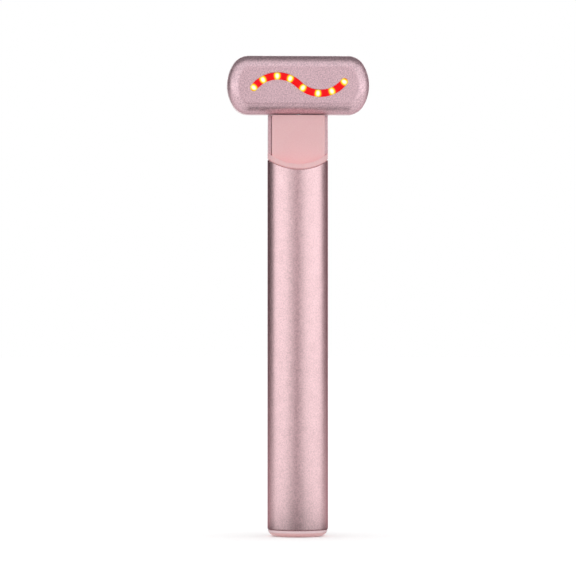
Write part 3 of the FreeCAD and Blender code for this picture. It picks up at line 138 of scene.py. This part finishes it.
finishes = {
    # aluminium, blasted with coarse grit, then anodised: the face of the head, paler and half matt.
    # The real grit leaves pits of about 0.1 mm; they are drawn at 0.4 mm so that they show at all
    "roseBlastedAluminium": {
        "dark": "#C8ABB4", "light": "#F3D4DB", "metallic": 0.78, "roughness": (0.32, 0.44),
        "grainMm": 0.4, "cloudMm": 3.0, "cloudShare": 0.08, "bumpMm": 0.02,
        "sockets": {"Specular Tint": hexToLinear("#B08088")}},
    # aluminium, bead-blasted, then anodised rose: a soft metal sheen with a fainter sparkle. Its pits
    # are no bigger, and are drawn at 0.4 mm too
    "roseAnodisedAluminium": {
        "dark": "#CDAFB3", "light": "#EBCBCF", "metallic": 1.0, "roughness": (0.30, 0.42),
        "grainMm": 0.4, "cloudMm": 3.0, "cloudShare": 0.15, "bumpMm": 0.012,
        "sockets": {"Specular Tint": hexToLinear("#B08088")}},
    # ABS with a metallic lacquer over it: paler than the metal, flakes of about 0.3 mm
    "roseMetallicPaint": {
        "dark": "#D8B9BF", "light": "#EBD3D8", "metallic": 0.6, "roughness": (0.36, 0.5),
        "grainMm": 0.3, "cloudMm": 4.0, "bumpMm": 0.006,
        "sockets": {"Coat Weight": 0.3, "Coat Roughness": 0.25}},
    # ABS, moulded satin and coloured through: an even soft pink with a faint grain of 0.25 mm
    "satinPinkAbs": {
        "dark": "#F4C3C5", "light": "#F9CCCD", "roughness": (0.36, 0.46),
        "grainMm": 0.25, "cloudMm": 9.0, "bumpMm": 0.004,
        "sockets": {"IOR": 1.54, "Subsurface Weight": 0.05, "Subsurface Scale": 0.6 * mm}},
    # the same ABS in the end cap, with a painted sheen round its rim and a thin line of painted shade in
    # the seam above it
    "satinPinkPaintedSheenAndShade": {
        "dark": "#EFBDBE", "light": "#F4C6C6", "roughness": (0.36, 0.46),
        "grainMm": 0.25, "cloudMm": 9.0, "bumpMm": 0.004, "wanderMm": 0.1,
        # a painted sheen band from 1.0 mm up, and a painted shade line in the seam from 1.95 mm up
        "bands": [(1.0, 1.5, "#F4DCDF"), (1.95, 1.96, "#BC989C")],  # from and to in mm, colour above
        "sockets": {"IOR": 1.54}},
    # silicone rubber, moulded: dark, matt and a little dusty
    "siliconeRubber": {
        "dark": "#2B2424", "light": "#3A3030", "roughness": (0.6, 0.75),
        "grainMm": 0.3, "cloudMm": 3.0, "bumpMm": 0.004},
    # steel, drawn or turned and zinc plated: bluish grey with a fine tooth
    "zincPlatedSteel": {
        "dark": "#A3A7AE", "light": "#C9CCD1", "metallic": 1.0, "roughness": (0.22, 0.36),
        "grainMm": 0.15, "cloudMm": 1.2, "bumpMm": 0.003},
    # brass, turned: warm yellow with fine tool marks
    "turnedBrass": {
        "dark": "#B9944C", "light": "#DDBB72", "metallic": 1.0, "roughness": (0.2, 0.32),
        "grainMm": 0.12, "cloudMm": 1.5, "bumpMm": 0.003},
    # contact metal, plated with gold: smooth and bright
    "goldPlatedBronze": {
        "dark": "#D9AE56", "light": "#F0CB7C", "metallic": 1.0, "roughness": (0.14, 0.22),
        "grainMm": 0.1, "cloudMm": 0.6, "bumpMm": 0.001},
    # glass-filled nylon, moulded black: dull, with the fibres' grain
    "blackNylon": {
        "dark": "#17171A", "light": "#26262A", "roughness": (0.4, 0.55),
        "grainMm": 0.15, "cloudMm": 2.0, "bumpMm": 0.004},
    # polycarbonate blend, moulded white: the carrier and plugs, slightly warm
    "whitePolycarbonate": {
        "dark": "#D6D4CC", "light": "#E6E4DE", "roughness": (0.38, 0.5),
        "grainMm": 0.3, "cloudMm": 6.0, "bumpMm": 0.003},
    # PVC sheath, extruded: soft gloss
    "extrudedPvc": {
        "dark": "#8A1F1B", "light": "#A62C26", "roughness": (0.34, 0.46),
        "grainMm": 0.2, "cloudMm": 2.5, "bumpMm": 0.003},
    # PVC shrink wrap round the cell: blue, tight and a little uneven
    "shrinkWrap": {
        "dark": "#2C5F93", "light": "#3B74AB", "roughness": (0.24, 0.36),
        "grainMm": 0.8, "cloudMm": 7.0, "bumpMm": 0.02},
    # epoxy, dipped: the temperature bead, glossy and dark
    "dippedEpoxy": {
        "dark": "#0E0E12", "light": "#1C1C22", "roughness": (0.12, 0.22),
        "grainMm": 0.5, "cloudMm": 1.5, "bumpMm": 0.01},
}
made = {name: grainyFinish(name, look) for name, look in finishes.items()}


def circuitBoardFinish(name, look):
    # brick courses one track pitch high: the joints between them show as the tracks
    material, tree, place = startMaterial(name)
    tracks = addNode(tree, "ShaderNodeTexBrick", {"offset": look["shift"]}, {
        "Vector": place, "Scale": 1 / (look["trackPitchMm"] * mm), "Mortar Size": look["trackShare"],
        "Mortar Smooth": look["trackBlur"], "Brick Width": look["trackRun"], "Row Height": 1.0,
        "Color1": hexToLinear(look["mask"]), "Color2": hexToLinear(look["maskDark"]),
        "Mortar": hexToLinear(look["track"])})
    shader = addNode(tree, "ShaderNodeBsdfPrincipled", inputs={
        "Base Color": tracks.outputs["Color"], **look["sockets"]})
    addNode(tree, "ShaderNodeOutputMaterial", inputs={"Surface": shader.outputs["BSDF"]})
    return material


def heaterFilmFinish(name, look):
    # a wave texture repeats every tau / (20 * scale)
    material, tree, place = startMaterial(name)
    track = addNode(tree, "ShaderNodeTexWave", {"bands_direction": "Z"}, {
        "Vector": place, "Scale": math.tau / (20 * look["trackPitchMm"] * mm)})
    colour = addNode(tree, "ShaderNodeValToRGB", inputs={"Fac": track.outputs["Fac"]},
                     stops=look["stops"])
    shader = addNode(tree, "ShaderNodeBsdfPrincipled", inputs={
        "Base Color": colour.outputs["Color"], **look["sockets"]})
    addNode(tree, "ShaderNodeOutputMaterial", inputs={"Surface": shader.outputs["BSDF"]})
    return material


def litChipFinish(name, look):
    # it gives off light in the colours it has
    material, tree, place = startMaterial(name)
    patch = addNode(tree, "ShaderNodeTexNoise", inputs={
        "Vector": place, "Scale": 1 / (look["grainMm"] * mm)})
    colour = addNode(tree, "ShaderNodeValToRGB", inputs={"Fac": patch.outputs["Fac"]},
                     stops=look["stops"]).outputs["Color"]
    shader = addNode(tree, "ShaderNodeBsdfPrincipled", inputs={
        "Base Color": colour, "Emission Color": colour, **look["sockets"]})
    addNode(tree, "ShaderNodeOutputMaterial", inputs={"Surface": shader.outputs["BSDF"]})
    return material


def clearPipeFinish(name, look):
    # clear right through, with a little haze from polishing
    material, tree, place = startMaterial(name)
    haze = addNode(tree, "ShaderNodeTexNoise", inputs={
        "Vector": place, "Scale": 1 / (look["hazeMm"] * mm)})
    rough = addNode(tree, "ShaderNodeMapRange", inputs={
        "Value": haze.outputs["Fac"], "To Min": look["roughness"][0], "To Max": look["roughness"][1]})
    shader = addNode(tree, "ShaderNodeBsdfPrincipled", inputs={
        "Base Color": hexToLinear(look["tint"]), "Roughness": rough.outputs["Result"],
        **look["sockets"]})
    addNode(tree, "ShaderNodeOutputMaterial", inputs={"Surface": shader.outputs["BSDF"]})
    return material


def frostedLensFinish(name, look):
    # the lens's mesh carries how far each point is from the nearest light along the window, and how far
    # from the middle line across it; the two give its distance from the light, and that its colour: a
    # painted glow that the lens gives off in place of the lights shining through it
    material, tree, place = startMaterial(name)
    along = addNode(tree, "ShaderNodeAttribute", {"attribute_name": "alongLights"})
    across = addNode(tree, "ShaderNodeAttribute", {"attribute_name": "acrossBar"})
    ripple = addNode(tree, "ShaderNodeTexNoise", inputs={
        "Vector": place, "Scale": 1 / (look["rippleMm"] * mm), "Detail": look["rippleDetail"]})
    known = {"along": along.outputs["Fac"], "across": across.outputs["Fac"],
             "ripple": ripple.outputs["Fac"]}
    for result, operation, *terms in [
            ("wide", "MULTIPLY", "across", look["acrossShare"]),
            ("wideSquared", "MULTIPLY", "wide", "wide"),
            ("farSquared", "MULTIPLY_ADD", "along", "along", "wideSquared"),
            ("far", "SQRT", "farSquared"),
            ("rippled", "MULTIPLY_ADD", "ripple", look["rippleDepthMm"] * mm, "far"),
            ("haloShare", "DIVIDE", "rippled", look["haloMm"] * mm)]:
        known[result] = addNode(tree, "ShaderNodeMath", {"operation": operation}, {
            index: known.get(term, term) for index, term in enumerate(terms)}).outputs["Value"]
    colour = addNode(tree, "ShaderNodeValToRGB", inputs={"Fac": known["haloShare"]},
                     stops=look["stops"])
    shader = addNode(tree, "ShaderNodeBsdfPrincipled", inputs={
        "Base Color": hexToLinear(look["body"]), "Emission Color": colour.outputs["Color"],
        **look["sockets"]})
    addNode(tree, "ShaderNodeOutputMaterial", inputs={"Surface": shader.outputs["BSDF"]})
    return material


patternedFinishes = {
    # epoxy-glass laminate under green solder mask: tracks show as paler lines, 0.5 mm apart
    "solderMaskLaminate": (circuitBoardFinish, {
        # a track's width and length are in pitches, and each course steps aside by a share of the length
        "trackPitchMm": 0.5, "trackShare": 0.12, "trackBlur": 0.2, "trackRun": 5.0, "shift": 0.35,
        "mask": "#1F6B3C", "maskDark": "#195A32", "track": "#3E8A55",
        "sockets": {"Roughness": 0.3, "Coat Weight": 0.4}}),
    # polyimide film, amber and clear, over an etched copper track that runs to and fro
    "polyimideHeaterFilm": (heaterFilmFinish, {
        "trackPitchMm": 0.754, "stops": [(0.45, "#B8722A"), (0.55, "#C98A52")],
        "sockets": {"Roughness": 0.25}}),
    # a lit chip under its phosphor: warm white, a little yellower in patches
    "warmWhiteChip": (litChipFinish, {
        "grainMm": 0.5, "stops": [(0.3, "#FFC24A"), (0.6, "#FFF3D0")],
        "sockets": {"Roughness": 0.3, "Emission Strength": 2.0}}),
    # polycarbonate, moulded clear and polished: it lies dark until its chip is lit
    "clearPolycarbonate": (clearPipeFinish, {
        "hazeMm": 0.4, "roughness": (0.03, 0.12), "tint": "#EFEAEA",
        "sockets": {"Transmission Weight": 0.85, "IOR": 1.58}}),
    # acrylic, moulded red and frosted behind, with the lights' glow through it painted on as its own
    # light: each light shows as a painted white core in a yellow halo, and the lens glows in a painted
    # red between them
    "frostedRedAcrylic": (frostedLensFinish, {
        "rippleMm": 0.7, "rippleDetail": 1.0, "rippleDepthMm": 0.08, "acrossShare": 0.72,
        "haloMm": 1.6, "body": "#2A0203",
        "stops": [(0.30, "#FDFEFF"), (0.40, "#FEFCB4"), (0.50, "#FEF020"), (0.61, "#FEC80A"),
                  (0.70, "#FB6A1C"), (0.79, "#F8222A"), (1.0, "#F60A12")],
        "sockets": {"Roughness": 0.3, "Emission Strength": 1.0, "IOR": 1.49,
                    "Specular IOR Level": 0.15}}),
}
made.update({name: finish(name, look) for name, (finish, look) in patternedFinishes.items()})
print("materials:", len(made))

slotFinish = {
    "rose_anodised_aluminium": "roseAnodisedAluminium", "rose_metallic_paint": "roseMetallicPaint",
    "pink_moulding": "satinPinkAbs", "red_lens": "frostedRedAcrylic", "seal_rubber": "siliconeRubber",
    "steel": "zincPlatedSteel", "bush_brass": "turnedBrass", "circuit_board": "solderMaskLaminate",
    "black_moulding": "blackNylon", "white_moulding": "whitePolycarbonate",
    "lead_sheath": "extrudedPvc", "cell_wrap": "shrinkWrap", "heater_polyimide": "polyimideHeaterFilm",
    "sensor_epoxy": "dippedEpoxy", "light_source": "warmWhiteChip", "clear_pipe": "clearPolycarbonate",
}
ownFinish = {"end_cap": "satinPinkPaintedSheenAndShade", "head_front_plate": "roseBlastedAluminium"}
for name, piece in nodes.items():
    for slot in piece.material_slots:
        slot.material = made[ownFinish.get(name) or slotFinish[slot.material.name.split(".")[0]]]
print("CAD nodes dressed:", len(nodes))

headMiddle = sum(corner[2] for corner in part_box("head_front_plate")) / 2 / mm

# the lens: a bar that follows the wavy window, with a wider flange behind it
lens = {
    # the two arcs that the window follows: where their centres lie from the head's middle, and how far
    # each sweeps
    "centreOut": 6.3, "centreDown": 6.5, "sweep": math.radians(96.0),
    "height": headMiddle, "front": 7.3, "back": 6.6,
    "width": 2.0, "flangeWidth": 3.7, "flangeDepth": 0.6,
    "squareness": 0.4,  # 1 is an oval section, smaller is squarer
    "tipShare": 0.02,  # the section left at the bar's very ends
    "alongPoints": 220, "roundPoints": 36,
    "leftLights": (20.2, 45.2, 73.0, 96.0), "rightLights": (9.3, 39.7, 66.3, 95.7),  # degrees along
}


def lightSpot(sign, degrees):
    radius = math.hypot(lens["centreOut"], lens["centreDown"])
    bearing = math.atan2(lens["centreDown"], lens["centreOut"]) + math.radians(degrees)
    x = sign * (lens["centreOut"] - radius * math.cos(bearing))
    z = lens["height"] + sign * (lens["centreDown"] - radius * math.sin(bearing))
    return x * mm, -lens["front"] * mm, z * mm


def startTree(name, inputs):
    # an empty tree whose inputs are listed by kind, their identifiers, and their sockets by name
    tree = bpy.data.node_groups.new(name, "GeometryNodeTree")
    tree.interface.new_socket("Geometry", in_out="OUTPUT", socket_type="NodeSocketGeometry")
    identifiers = {}
    for kind, titles in inputs.items():
        for title in titles:
            identifiers[title] = tree.interface.new_socket(
                title, in_out="INPUT", socket_type="NodeSocket" + kind).identifier
    given = addNode(tree, "NodeGroupInput").outputs
    return tree, identifiers, {title: given[title] for title in identifiers}


def endTree(tree, geometry, material):
    real = addNode(tree, "GeometryNodeRealizeInstances", inputs={"Geometry": geometry})
    coated = addNode(tree, "GeometryNodeSetMaterial", inputs={
        "Geometry": real.outputs["Geometry"], "Material": material})
    addNode(tree, "NodeGroupOutput", inputs={"Geometry": coated.outputs["Geometry"]})


def sweepTree():
    # a bar of rounded oblong section along two tangent arcs, with half-round ends
    tree, identifiers, known = startTree("waveSweep", {
        "Geometry": ("lights",),
        "Float": ("centreOut", "centreDown", "sweep", "width", "depth", "middleY", "middleZ",
                  "squareness", "tipShare"),
        "Int": ("alongPoints", "roundPoints"), "Material": ("material",)})
    known["share"] = addNode(tree, "GeometryNodeSplineParameter").outputs["Factor"]
    ringPlace = addNode(tree, "ShaderNodeSeparateXYZ", inputs={
        "Vector": addNode(tree, "GeometryNodeInputPosition").outputs["Position"]})
    known["ringX"], known["ringY"] = ringPlace.outputs["X"], ringPlace.outputs["Y"]
    for result, operation, *terms in [
            # the path: an angle that runs from one end to the other, in closer steps near the ends,
            # and the place on the arc that it belongs to
            ("outSquared", "POWER", "centreOut", 2.0),
            ("downSquared", "POWER", "centreDown", 2.0),
            ("radiusSquared", "ADD", "outSquared", "downSquared"),
            ("radius", "SQRT", "radiusSquared"),
            ("halfWidth", "DIVIDE", "width", 2.0),
            ("endAngle", "DIVIDE", "halfWidth", "radius"),
            ("fullSweep", "ADD", "sweep", "endAngle"),
            ("fromMiddle", "SUBTRACT", "share", 0.5),
            ("phase", "MULTIPLY", "fromMiddle", math.pi),
            ("swing", "SINE", "phase"),
            ("angle", "MULTIPLY", "swing", "fullSweep"),
            ("side", "SIGN", "angle"),
            ("turned", "ABSOLUTE", "angle"),
            ("startBearing", "ARCTAN2", "centreDown", "centreOut"),
            ("bearing", "ADD", "startBearing", "turned"),
            ("cosine", "COSINE", "bearing"),
            ("radiusOut", "MULTIPLY", "radius", "cosine"),
            ("outwards", "SUBTRACT", "centreOut", "radiusOut"),
            ("pathX", "MULTIPLY", "side", "outwards"),
            ("sine", "SINE", "bearing"),
            ("radiusUp", "MULTIPLY", "radius", "sine"),
            ("upwards", "SUBTRACT", "centreDown", "radiusUp"),
            ("sidedUp", "MULTIPLY", "side", "upwards"),
            ("pathZ", "ADD", "sidedUp", "middleZ"),
            # its ends: the section shrinks as a circle does, down to the tip's share
            ("beyond", "SUBTRACT", "turned", "sweep"),
            ("beyondShare", "DIVIDE", "beyond", "endAngle"),
            ("past", "MAXIMUM", "beyondShare", 0.0),
            ("pastSquared", "POWER", "past", 2.0),
            ("leftSquared", "SUBTRACT", 1.0, "pastSquared"),
            ("tipSquared", "POWER", "tipShare", 2.0),
            ("taperSquared", "MAXIMUM", "leftSquared", "tipSquared"),
            ("taper", "SQRT", "taperSquared"),
            # the section: a circle pressed out to a rounded oblong
            ("signX", "SIGN", "ringX"),
            ("sizeX", "ABSOLUTE", "ringX"),
            ("powerX", "POWER", "sizeX", "squareness"),
            ("unitX", "MULTIPLY", "signX", "powerX"),
            ("halfDepth", "MULTIPLY", "depth", 0.5),
            ("sectionX", "MULTIPLY", "unitX", "halfDepth"),
            ("signY", "SIGN", "ringY"),
            ("sizeY", "ABSOLUTE", "ringY"),
            ("powerY", "POWER", "sizeY", "squareness"),
            ("unitY", "MULTIPLY", "signY", "powerY"),
            ("sectionY", "MULTIPLY", "unitY", "halfWidth")]:
        known[result] = addNode(tree, "ShaderNodeMath", {"operation": operation}, {
            index: known.get(term, term) for index, term in enumerate(terms)}).outputs["Value"]

    perPoint = {"data_type": "FLOAT", "domain": "POINT"}
    spot = addNode(tree, "ShaderNodeCombineXYZ", inputs={
        "X": known["pathX"], "Y": known["middleY"], "Z": known["pathZ"]})
    line = addNode(tree, "GeometryNodeCurvePrimitiveLine", inputs={"End": (0, 0, 1)})
    points = addNode(tree, "GeometryNodeResampleCurve", inputs={
        "Curve": line.outputs["Curve"], "Count": known["alongPoints"]})
    path = addNode(tree, "GeometryNodeSetPosition", inputs={
        "Geometry": points.outputs["Curve"], "Position": spot.outputs["Vector"]})
    nearest = addNode(tree, "GeometryNodeProximity", {"target_element": "POINTS"}, {0: known["lights"]})
    marked = addNode(tree, "GeometryNodeStoreNamedAttribute", perPoint, {
        "Geometry": path.outputs["Geometry"], "Name": "alongLights",
        "Value": nearest.outputs["Distance"]})
    rounded = addNode(tree, "GeometryNodeSetCurveRadius", inputs={
        "Curve": marked.outputs["Geometry"], "Radius": known["taper"]})

    ring = addNode(tree, "GeometryNodeCurvePrimitiveCircle", inputs={
        "Resolution": known["roundPoints"], "Radius": 1.0})
    crossed = addNode(tree, "GeometryNodeStoreNamedAttribute", perPoint, {
        "Geometry": ring.outputs["Curve"], "Name": "acrossBar", "Value": known["sectionY"]})
    oblong = addNode(tree, "ShaderNodeCombineXYZ", inputs={
        "X": known["sectionX"], "Y": known["sectionY"]})
    section = addNode(tree, "GeometryNodeSetPosition", inputs={
        "Geometry": crossed.outputs["Geometry"], "Position": oblong.outputs["Vector"]})
    bar = addNode(tree, "GeometryNodeCurveToMesh", inputs={
        "Curve": rounded.outputs["Curve"], "Profile Curve": section.outputs["Geometry"],
        "Fill Caps": True})
    smooth = addNode(tree, "GeometryNodeSetShadeSmooth", inputs={"Geometry": bar.outputs["Mesh"]})
    endTree(tree, smooth.outputs["Geometry"], known["material"])
    return tree, identifiers


def applyTree(name, tree, values, startMesh=None):
    # runs a tree on an object and turns the result into a plain mesh without the modifier
    rig = placeObject(name + "Rig", startMesh or bpy.data.meshes.new(name + "Rig"))
    modifier = rig.modifiers.new("tree", "NODES")
    modifier.node_group = tree
    for identifier, value in values.items():
        modifier[identifier] = value
    bpy.context.view_layer.update()
    evaluated = rig.evaluated_get(bpy.context.evaluated_depsgraph_get())
    mesh = bpy.data.meshes.new_from_object(evaluated)
    mesh.name = name
    bpy.data.objects.remove(rig)
    return placeObject(name, mesh)


def joinPieces(name, parts):
    # several plain meshes of one material become one piece, at the origin
    shared = bmesh.new()
    for part in parts:
        shared.from_mesh(part.data)
    mesh = parts[0].data
    shared.to_mesh(mesh)
    shared.free()
    mesh.name = name
    for part in parts:
        bpy.data.objects.remove(part)
    return placeObject(name, mesh)


lights = bpy.data.meshes.new("lights")
lights.from_pydata([lightSpot(-1, degrees) for degrees in lens["leftLights"]]
                   + [lightSpot(1, degrees) for degrees in lens["rightLights"]], [], [])
sweep, sweepInputs = sweepTree()


def lensBar(name, width, front, back):
    sizes = {
        "centreOut": lens["centreOut"] * mm, "centreDown": lens["centreDown"] * mm,
        "sweep": lens["sweep"], "width": width * mm, "depth": (front - back) * mm,
        "middleY": -(front + back) / 2 * mm, "middleZ": lens["height"] * mm,
        "squareness": lens["squareness"], "tipShare": lens["tipShare"],
        "alongPoints": lens["alongPoints"], "roundPoints": lens["roundPoints"],
        "material": made["frostedRedAcrylic"]}
    return applyTree(name, sweep, {sweepInputs[title]: value for title, value in sizes.items()},
                     lights.copy())


lightLens = joinPieces("lightLens", [
    lensBar("lensBar", lens["width"], lens["front"], lens["back"]),
    lensBar("lensFlange", lens["flangeWidth"], lens["back"], lens["back"] - lens["flangeDepth"])])
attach(lightLens, "head")
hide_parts("light_lens")
print("lens:", len(lightLens.data.vertices), "points")

# the contacts on the charging socket's tongue, in a row on each side of it
contacts = {
    "count": 12, "pitch": 0.5, "width": 0.25, "length": 3.2, "thickness": 0.06,
    "tongueHalf": 0.35, "bottom": 1.5,
}


def contactTree():
    tree, identifiers, known = startTree("contactRows", {
        "Float": ("pitch", "width", "length", "thickness", "tongueHalf", "bottom"),
        "Int": ("count",), "Material": ("material",)})
    for result, operation, *terms in [
            ("gaps", "SUBTRACT", "count", 1.0),
            ("span", "MULTIPLY", "gaps", "pitch"),
            ("start", "MULTIPLY", "span", -0.5),
            ("halfLength", "MULTIPLY", "length", 0.5),
            ("middle", "ADD", "bottom", "halfLength"),
            ("frontFace", "MULTIPLY", "tongueHalf", -1.0),
            ("rearFace", "MULTIPLY", "tongueHalf", 1.0)]:
        known[result] = addNode(tree, "ShaderNodeMath", {"operation": operation}, {
            index: known.get(term, term) for index, term in enumerate(terms)}).outputs["Value"]
    size = addNode(tree, "ShaderNodeCombineXYZ", inputs={
        "X": known["width"], "Y": known["thickness"], "Z": known["length"]})
    blade = addNode(tree, "GeometryNodeMeshCube", inputs={"Size": size.outputs["Vector"]})
    step = addNode(tree, "ShaderNodeCombineXYZ", inputs={"X": known["pitch"]})
    both = addNode(tree, "GeometryNodeJoinGeometry")
    for face in ("frontFace", "rearFace"):
        first = addNode(tree, "ShaderNodeCombineXYZ", inputs={
            "X": known["start"], "Y": known[face], "Z": known["middle"]})
        row = addNode(tree, "GeometryNodeMeshLine", {"mode": "OFFSET"}, {
            "Count": known["count"], "Start Location": first.outputs["Vector"],
            "Offset": step.outputs["Vector"]})
        blades = addNode(tree, "GeometryNodeInstanceOnPoints", inputs={
            "Points": row.outputs["Mesh"], "Instance": blade.outputs["Mesh"]})
        tree.links.new(blades.outputs["Instances"], both.inputs["Geometry"])
    endTree(tree, both.outputs["Geometry"], known["material"])
    return tree, identifiers


rows, rowInputs = contactTree()
socketContacts = applyTree("socketContacts", rows, {
    **{rowInputs[title]: size * mm for title, size in contacts.items() if title != "count"},
    rowInputs["count"]: contacts["count"], rowInputs["material"]: made["goldPlatedBronze"]})
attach(socketContacts, "handle")
print("contacts:", contacts["count"] * 2)

# the camera has a long lens, level with the handle; lengths of the studio are in metres
view = {
    "turn": math.radians(-3.0), "distance": 1.1817, "aside": -0.0029, "height": 0.07383,
    "lens": 248.1, "sensor": 36.0,
}
studio = {
    "floorSize": 6.0,
    # the floor as the camera sees it: its linear white, and the light that lifts it to full white
    "floorWhite": 0.95, "floorLift": 0.12,
    # the floor as it lights the object, by distance from it: a painted pool of light, paler near the
    # foot; and as metal mirrors it
    "floorPaintedPool": [(0.035, "#EDE8E8"), (0.06, "#BBB6B7")], "floorMirrored": "#FDF8F8",
    "speckSize": 0.025, "speckWander": 0.004,
    # cards that only metal mirrors: colour, then four corners in order round the edge. The front cards,
    # the apron before them and the ceiling card make the broad tones, the strip is painted shade on the
    # floor round the foot that darkens the foot, and the flags keep the edges dark
    "cards": {
        "frontCardLow": ("#C5B1B7", (-0.50, -1.7, -0.2), (0.24, -1.7, -0.2),
                         (0.24, -1.7, 0.18), (-0.50, -1.7, 0.18)),
        "frontCardHigh": ("#FBEFF1", (-0.42, -1.7, 0.18), (0.24, -1.7, 0.18),
                          (0.24, -1.7, 1.2), (-0.42, -1.7, 1.2)),
        "apron": ("#9A858B", (-0.06, -0.14, 0.001), (0.03, -0.14, 0.001),
                  (0.24, -1.7, 0.001), (-0.42, -1.7, 0.001)),
        "ceilingCard": ("#2E292A", (-0.9, -0.08, 0.95), (0.9, -0.08, 0.95),
                        (0.9, 0.9, 0.50), (-0.9, 0.9, 0.50)),
        # painted shade: a dark sheet on the floor round the foot, seen only in what the metal mirrors
        "darkStrip": ("#302A2C", (-0.034, -0.066, 0.001), (0.034, -0.066, 0.001),
                      (0.034, 0.012, 0.001), (-0.034, 0.012, 0.001)),
        "leftFlag": ("#4A4043", (-0.79, 0.21, -0.1), (-0.26, 0.74, -0.1),
                     (-0.26, 0.74, 0.84), (-0.79, 0.21, 0.84)),
        "rightFlag": ("#85777A", (0.80, 0.28, -0.1), (0.26, 0.76, -0.1),
                      (0.26, 0.76, 0.84), (0.80, 0.28, 0.84)),
    },
    # lamps: place, size across and up, power in watts; the rear one is for the views from behind
    "lamps": {
        "leftSoftBox": ((-0.96, -0.38, -0.04), (1.4, 0.6), 2.1),
        "rightSoftBox": ((0.92, -0.46, -0.04), (1.6, 0.6), 2.6),
        "rearSoftBox": ((0.10, 1.30, 0.34), (0.7, 0.9), 3.0),
    },
}


def fromCamera(x, y, z):
    # the studio is set out from the camera's line of sight
    return (x * math.cos(view["turn"]) - y * math.sin(view["turn"]),
            x * math.sin(view["turn"]) + y * math.cos(view["turn"]), z)


def flatSheet(name, corners, material):
    mesh = bpy.data.meshes.new(name)
    mesh.from_pydata(corners, [], [(0, 1, 2, 3)])
    mesh.materials.append(material)
    sheet = placeObject(name, mesh)
    return sheet


def cardFinish(name, code):
    # card or velvet, lit evenly: it shows only in what the metal mirrors
    material, tree = startMaterial(name)[:2]
    shader = addNode(tree, "ShaderNodeEmission", inputs={"Color": hexToLinear(code), "Strength": 1.0})
    addNode(tree, "ShaderNodeOutputMaterial", inputs={"Surface": shader.outputs["Emission"]})
    return material


def floorFinish(look):
    # pale matt floor: white to the camera, less the object's shadow, and plain white to what mirrors it;
    # for the light it throws on the object it has a painted pool of light, paler near the foot
    material, tree, place = startMaterial("paleFloor")
    rays = addNode(tree, "ShaderNodeLightPath")
    speck = addNode(tree, "ShaderNodeTexNoise", inputs={
        "Vector": place, "Scale": 1 / look["speckSize"]})
    distance = addNode(tree, "ShaderNodeVectorMath", {"operation": "LENGTH"}, {0: place})
    wander = addNode(tree, "ShaderNodeMath", {"operation": "MULTIPLY_ADD"}, {
        0: speck.outputs["Fac"], 1: look["speckWander"], 2: distance.outputs["Value"]})
    # painted pool of light round the foot, seen only in the light the floor throws on the object
    lit = addNode(tree, "ShaderNodeValToRGB", inputs={"Fac": wander.outputs["Value"]},
                  stops=look["floorPaintedPool"])
    pale = addNode(tree, "ShaderNodeBsdfDiffuse", inputs={"Color": lit.outputs["Color"]})
    mirrored = addNode(tree, "ShaderNodeEmission", inputs={"Color": hexToLinear(look["floorMirrored"])})
    unseen = addNode(tree, "ShaderNodeMixShader", inputs={
        "Fac": rays.outputs["Is Glossy Ray"], 1: pale.outputs[0], 2: mirrored.outputs[0]})
    chalk = addNode(tree, "ShaderNodeBsdfDiffuse", inputs={"Color": [look["floorWhite"]] * 3 + [1.0]})
    lift = addNode(tree, "ShaderNodeEmission", inputs={"Strength": look["floorLift"]})
    bright = addNode(tree, "ShaderNodeAddShader", inputs={0: chalk.outputs[0], 1: lift.outputs[0]})
    seen = addNode(tree, "ShaderNodeMath", {"operation": "MAXIMUM"}, {
        0: rays.outputs["Is Camera Ray"], 1: rays.outputs["Is Transmission Ray"]})
    shader = addNode(tree, "ShaderNodeMixShader", inputs={
        "Fac": seen.outputs["Value"], 1: unseen.outputs[0], 2: bright.outputs[0]})
    addNode(tree, "ShaderNodeOutputMaterial", inputs={"Surface": shader.outputs["Shader"]})
    return material


half = studio["floorSize"] / 2
floor = flatSheet("floor", [(-half, -half, 0), (half, -half, 0), (half, half, 0), (-half, half, 0)],
                  floorFinish(studio))
for name, (code, *corners) in studio["cards"].items():
    card = flatSheet(name, [fromCamera(*corner) for corner in corners], cardFinish(name, code))
    card.visible_camera = False
    card.visible_diffuse = False

middle = mathutils.Vector((0, 0, view["height"]))
for name, (spot, size, power) in studio["lamps"].items():
    lamp = bpy.data.lights.new(name, "AREA")
    lamp.shape = "RECTANGLE"
    lamp.size, lamp.size_y = size
    lamp.energy = power
    box = placeObject(name, lamp)
    box.location = fromCamera(*spot)
    box.rotation_euler = (middle - box.location).to_track_quat("-Z", "Y").to_euler()

# the rear soft box leaves the floor unlit: it would shine past white and eat into the object's outline
unlit = bpy.data.collections.new("unlitFromBehind")
unlit.objects.link(floor)
unlit.collection_objects[0].light_linking.link_state = "EXCLUDE"
bpy.data.objects["rearSoftBox"].light_linking.receiver_collection = unlit

world = bpy.data.worlds.new("whiteTent")
world.use_nodes = True
tent = world.node_tree.nodes["Background"].inputs
tent["Color"].default_value = hexToLinear("#FFFFFF")
tent["Strength"].default_value = 1.0
bpy.context.scene.world = world

camera = placeObject("camera", bpy.data.cameras.new("camera"))
camera.data.lens = view["lens"]
camera.data.sensor_width = view["sensor"]
camera.location = fromCamera(view["aside"], -view["distance"], view["height"])
camera.rotation_euler = (math.pi / 2, 0, view["turn"])  # level
bpy.context.scene.camera = camera
bpy.context.scene.view_settings.view_transform = "Standard"
print("studio ready")
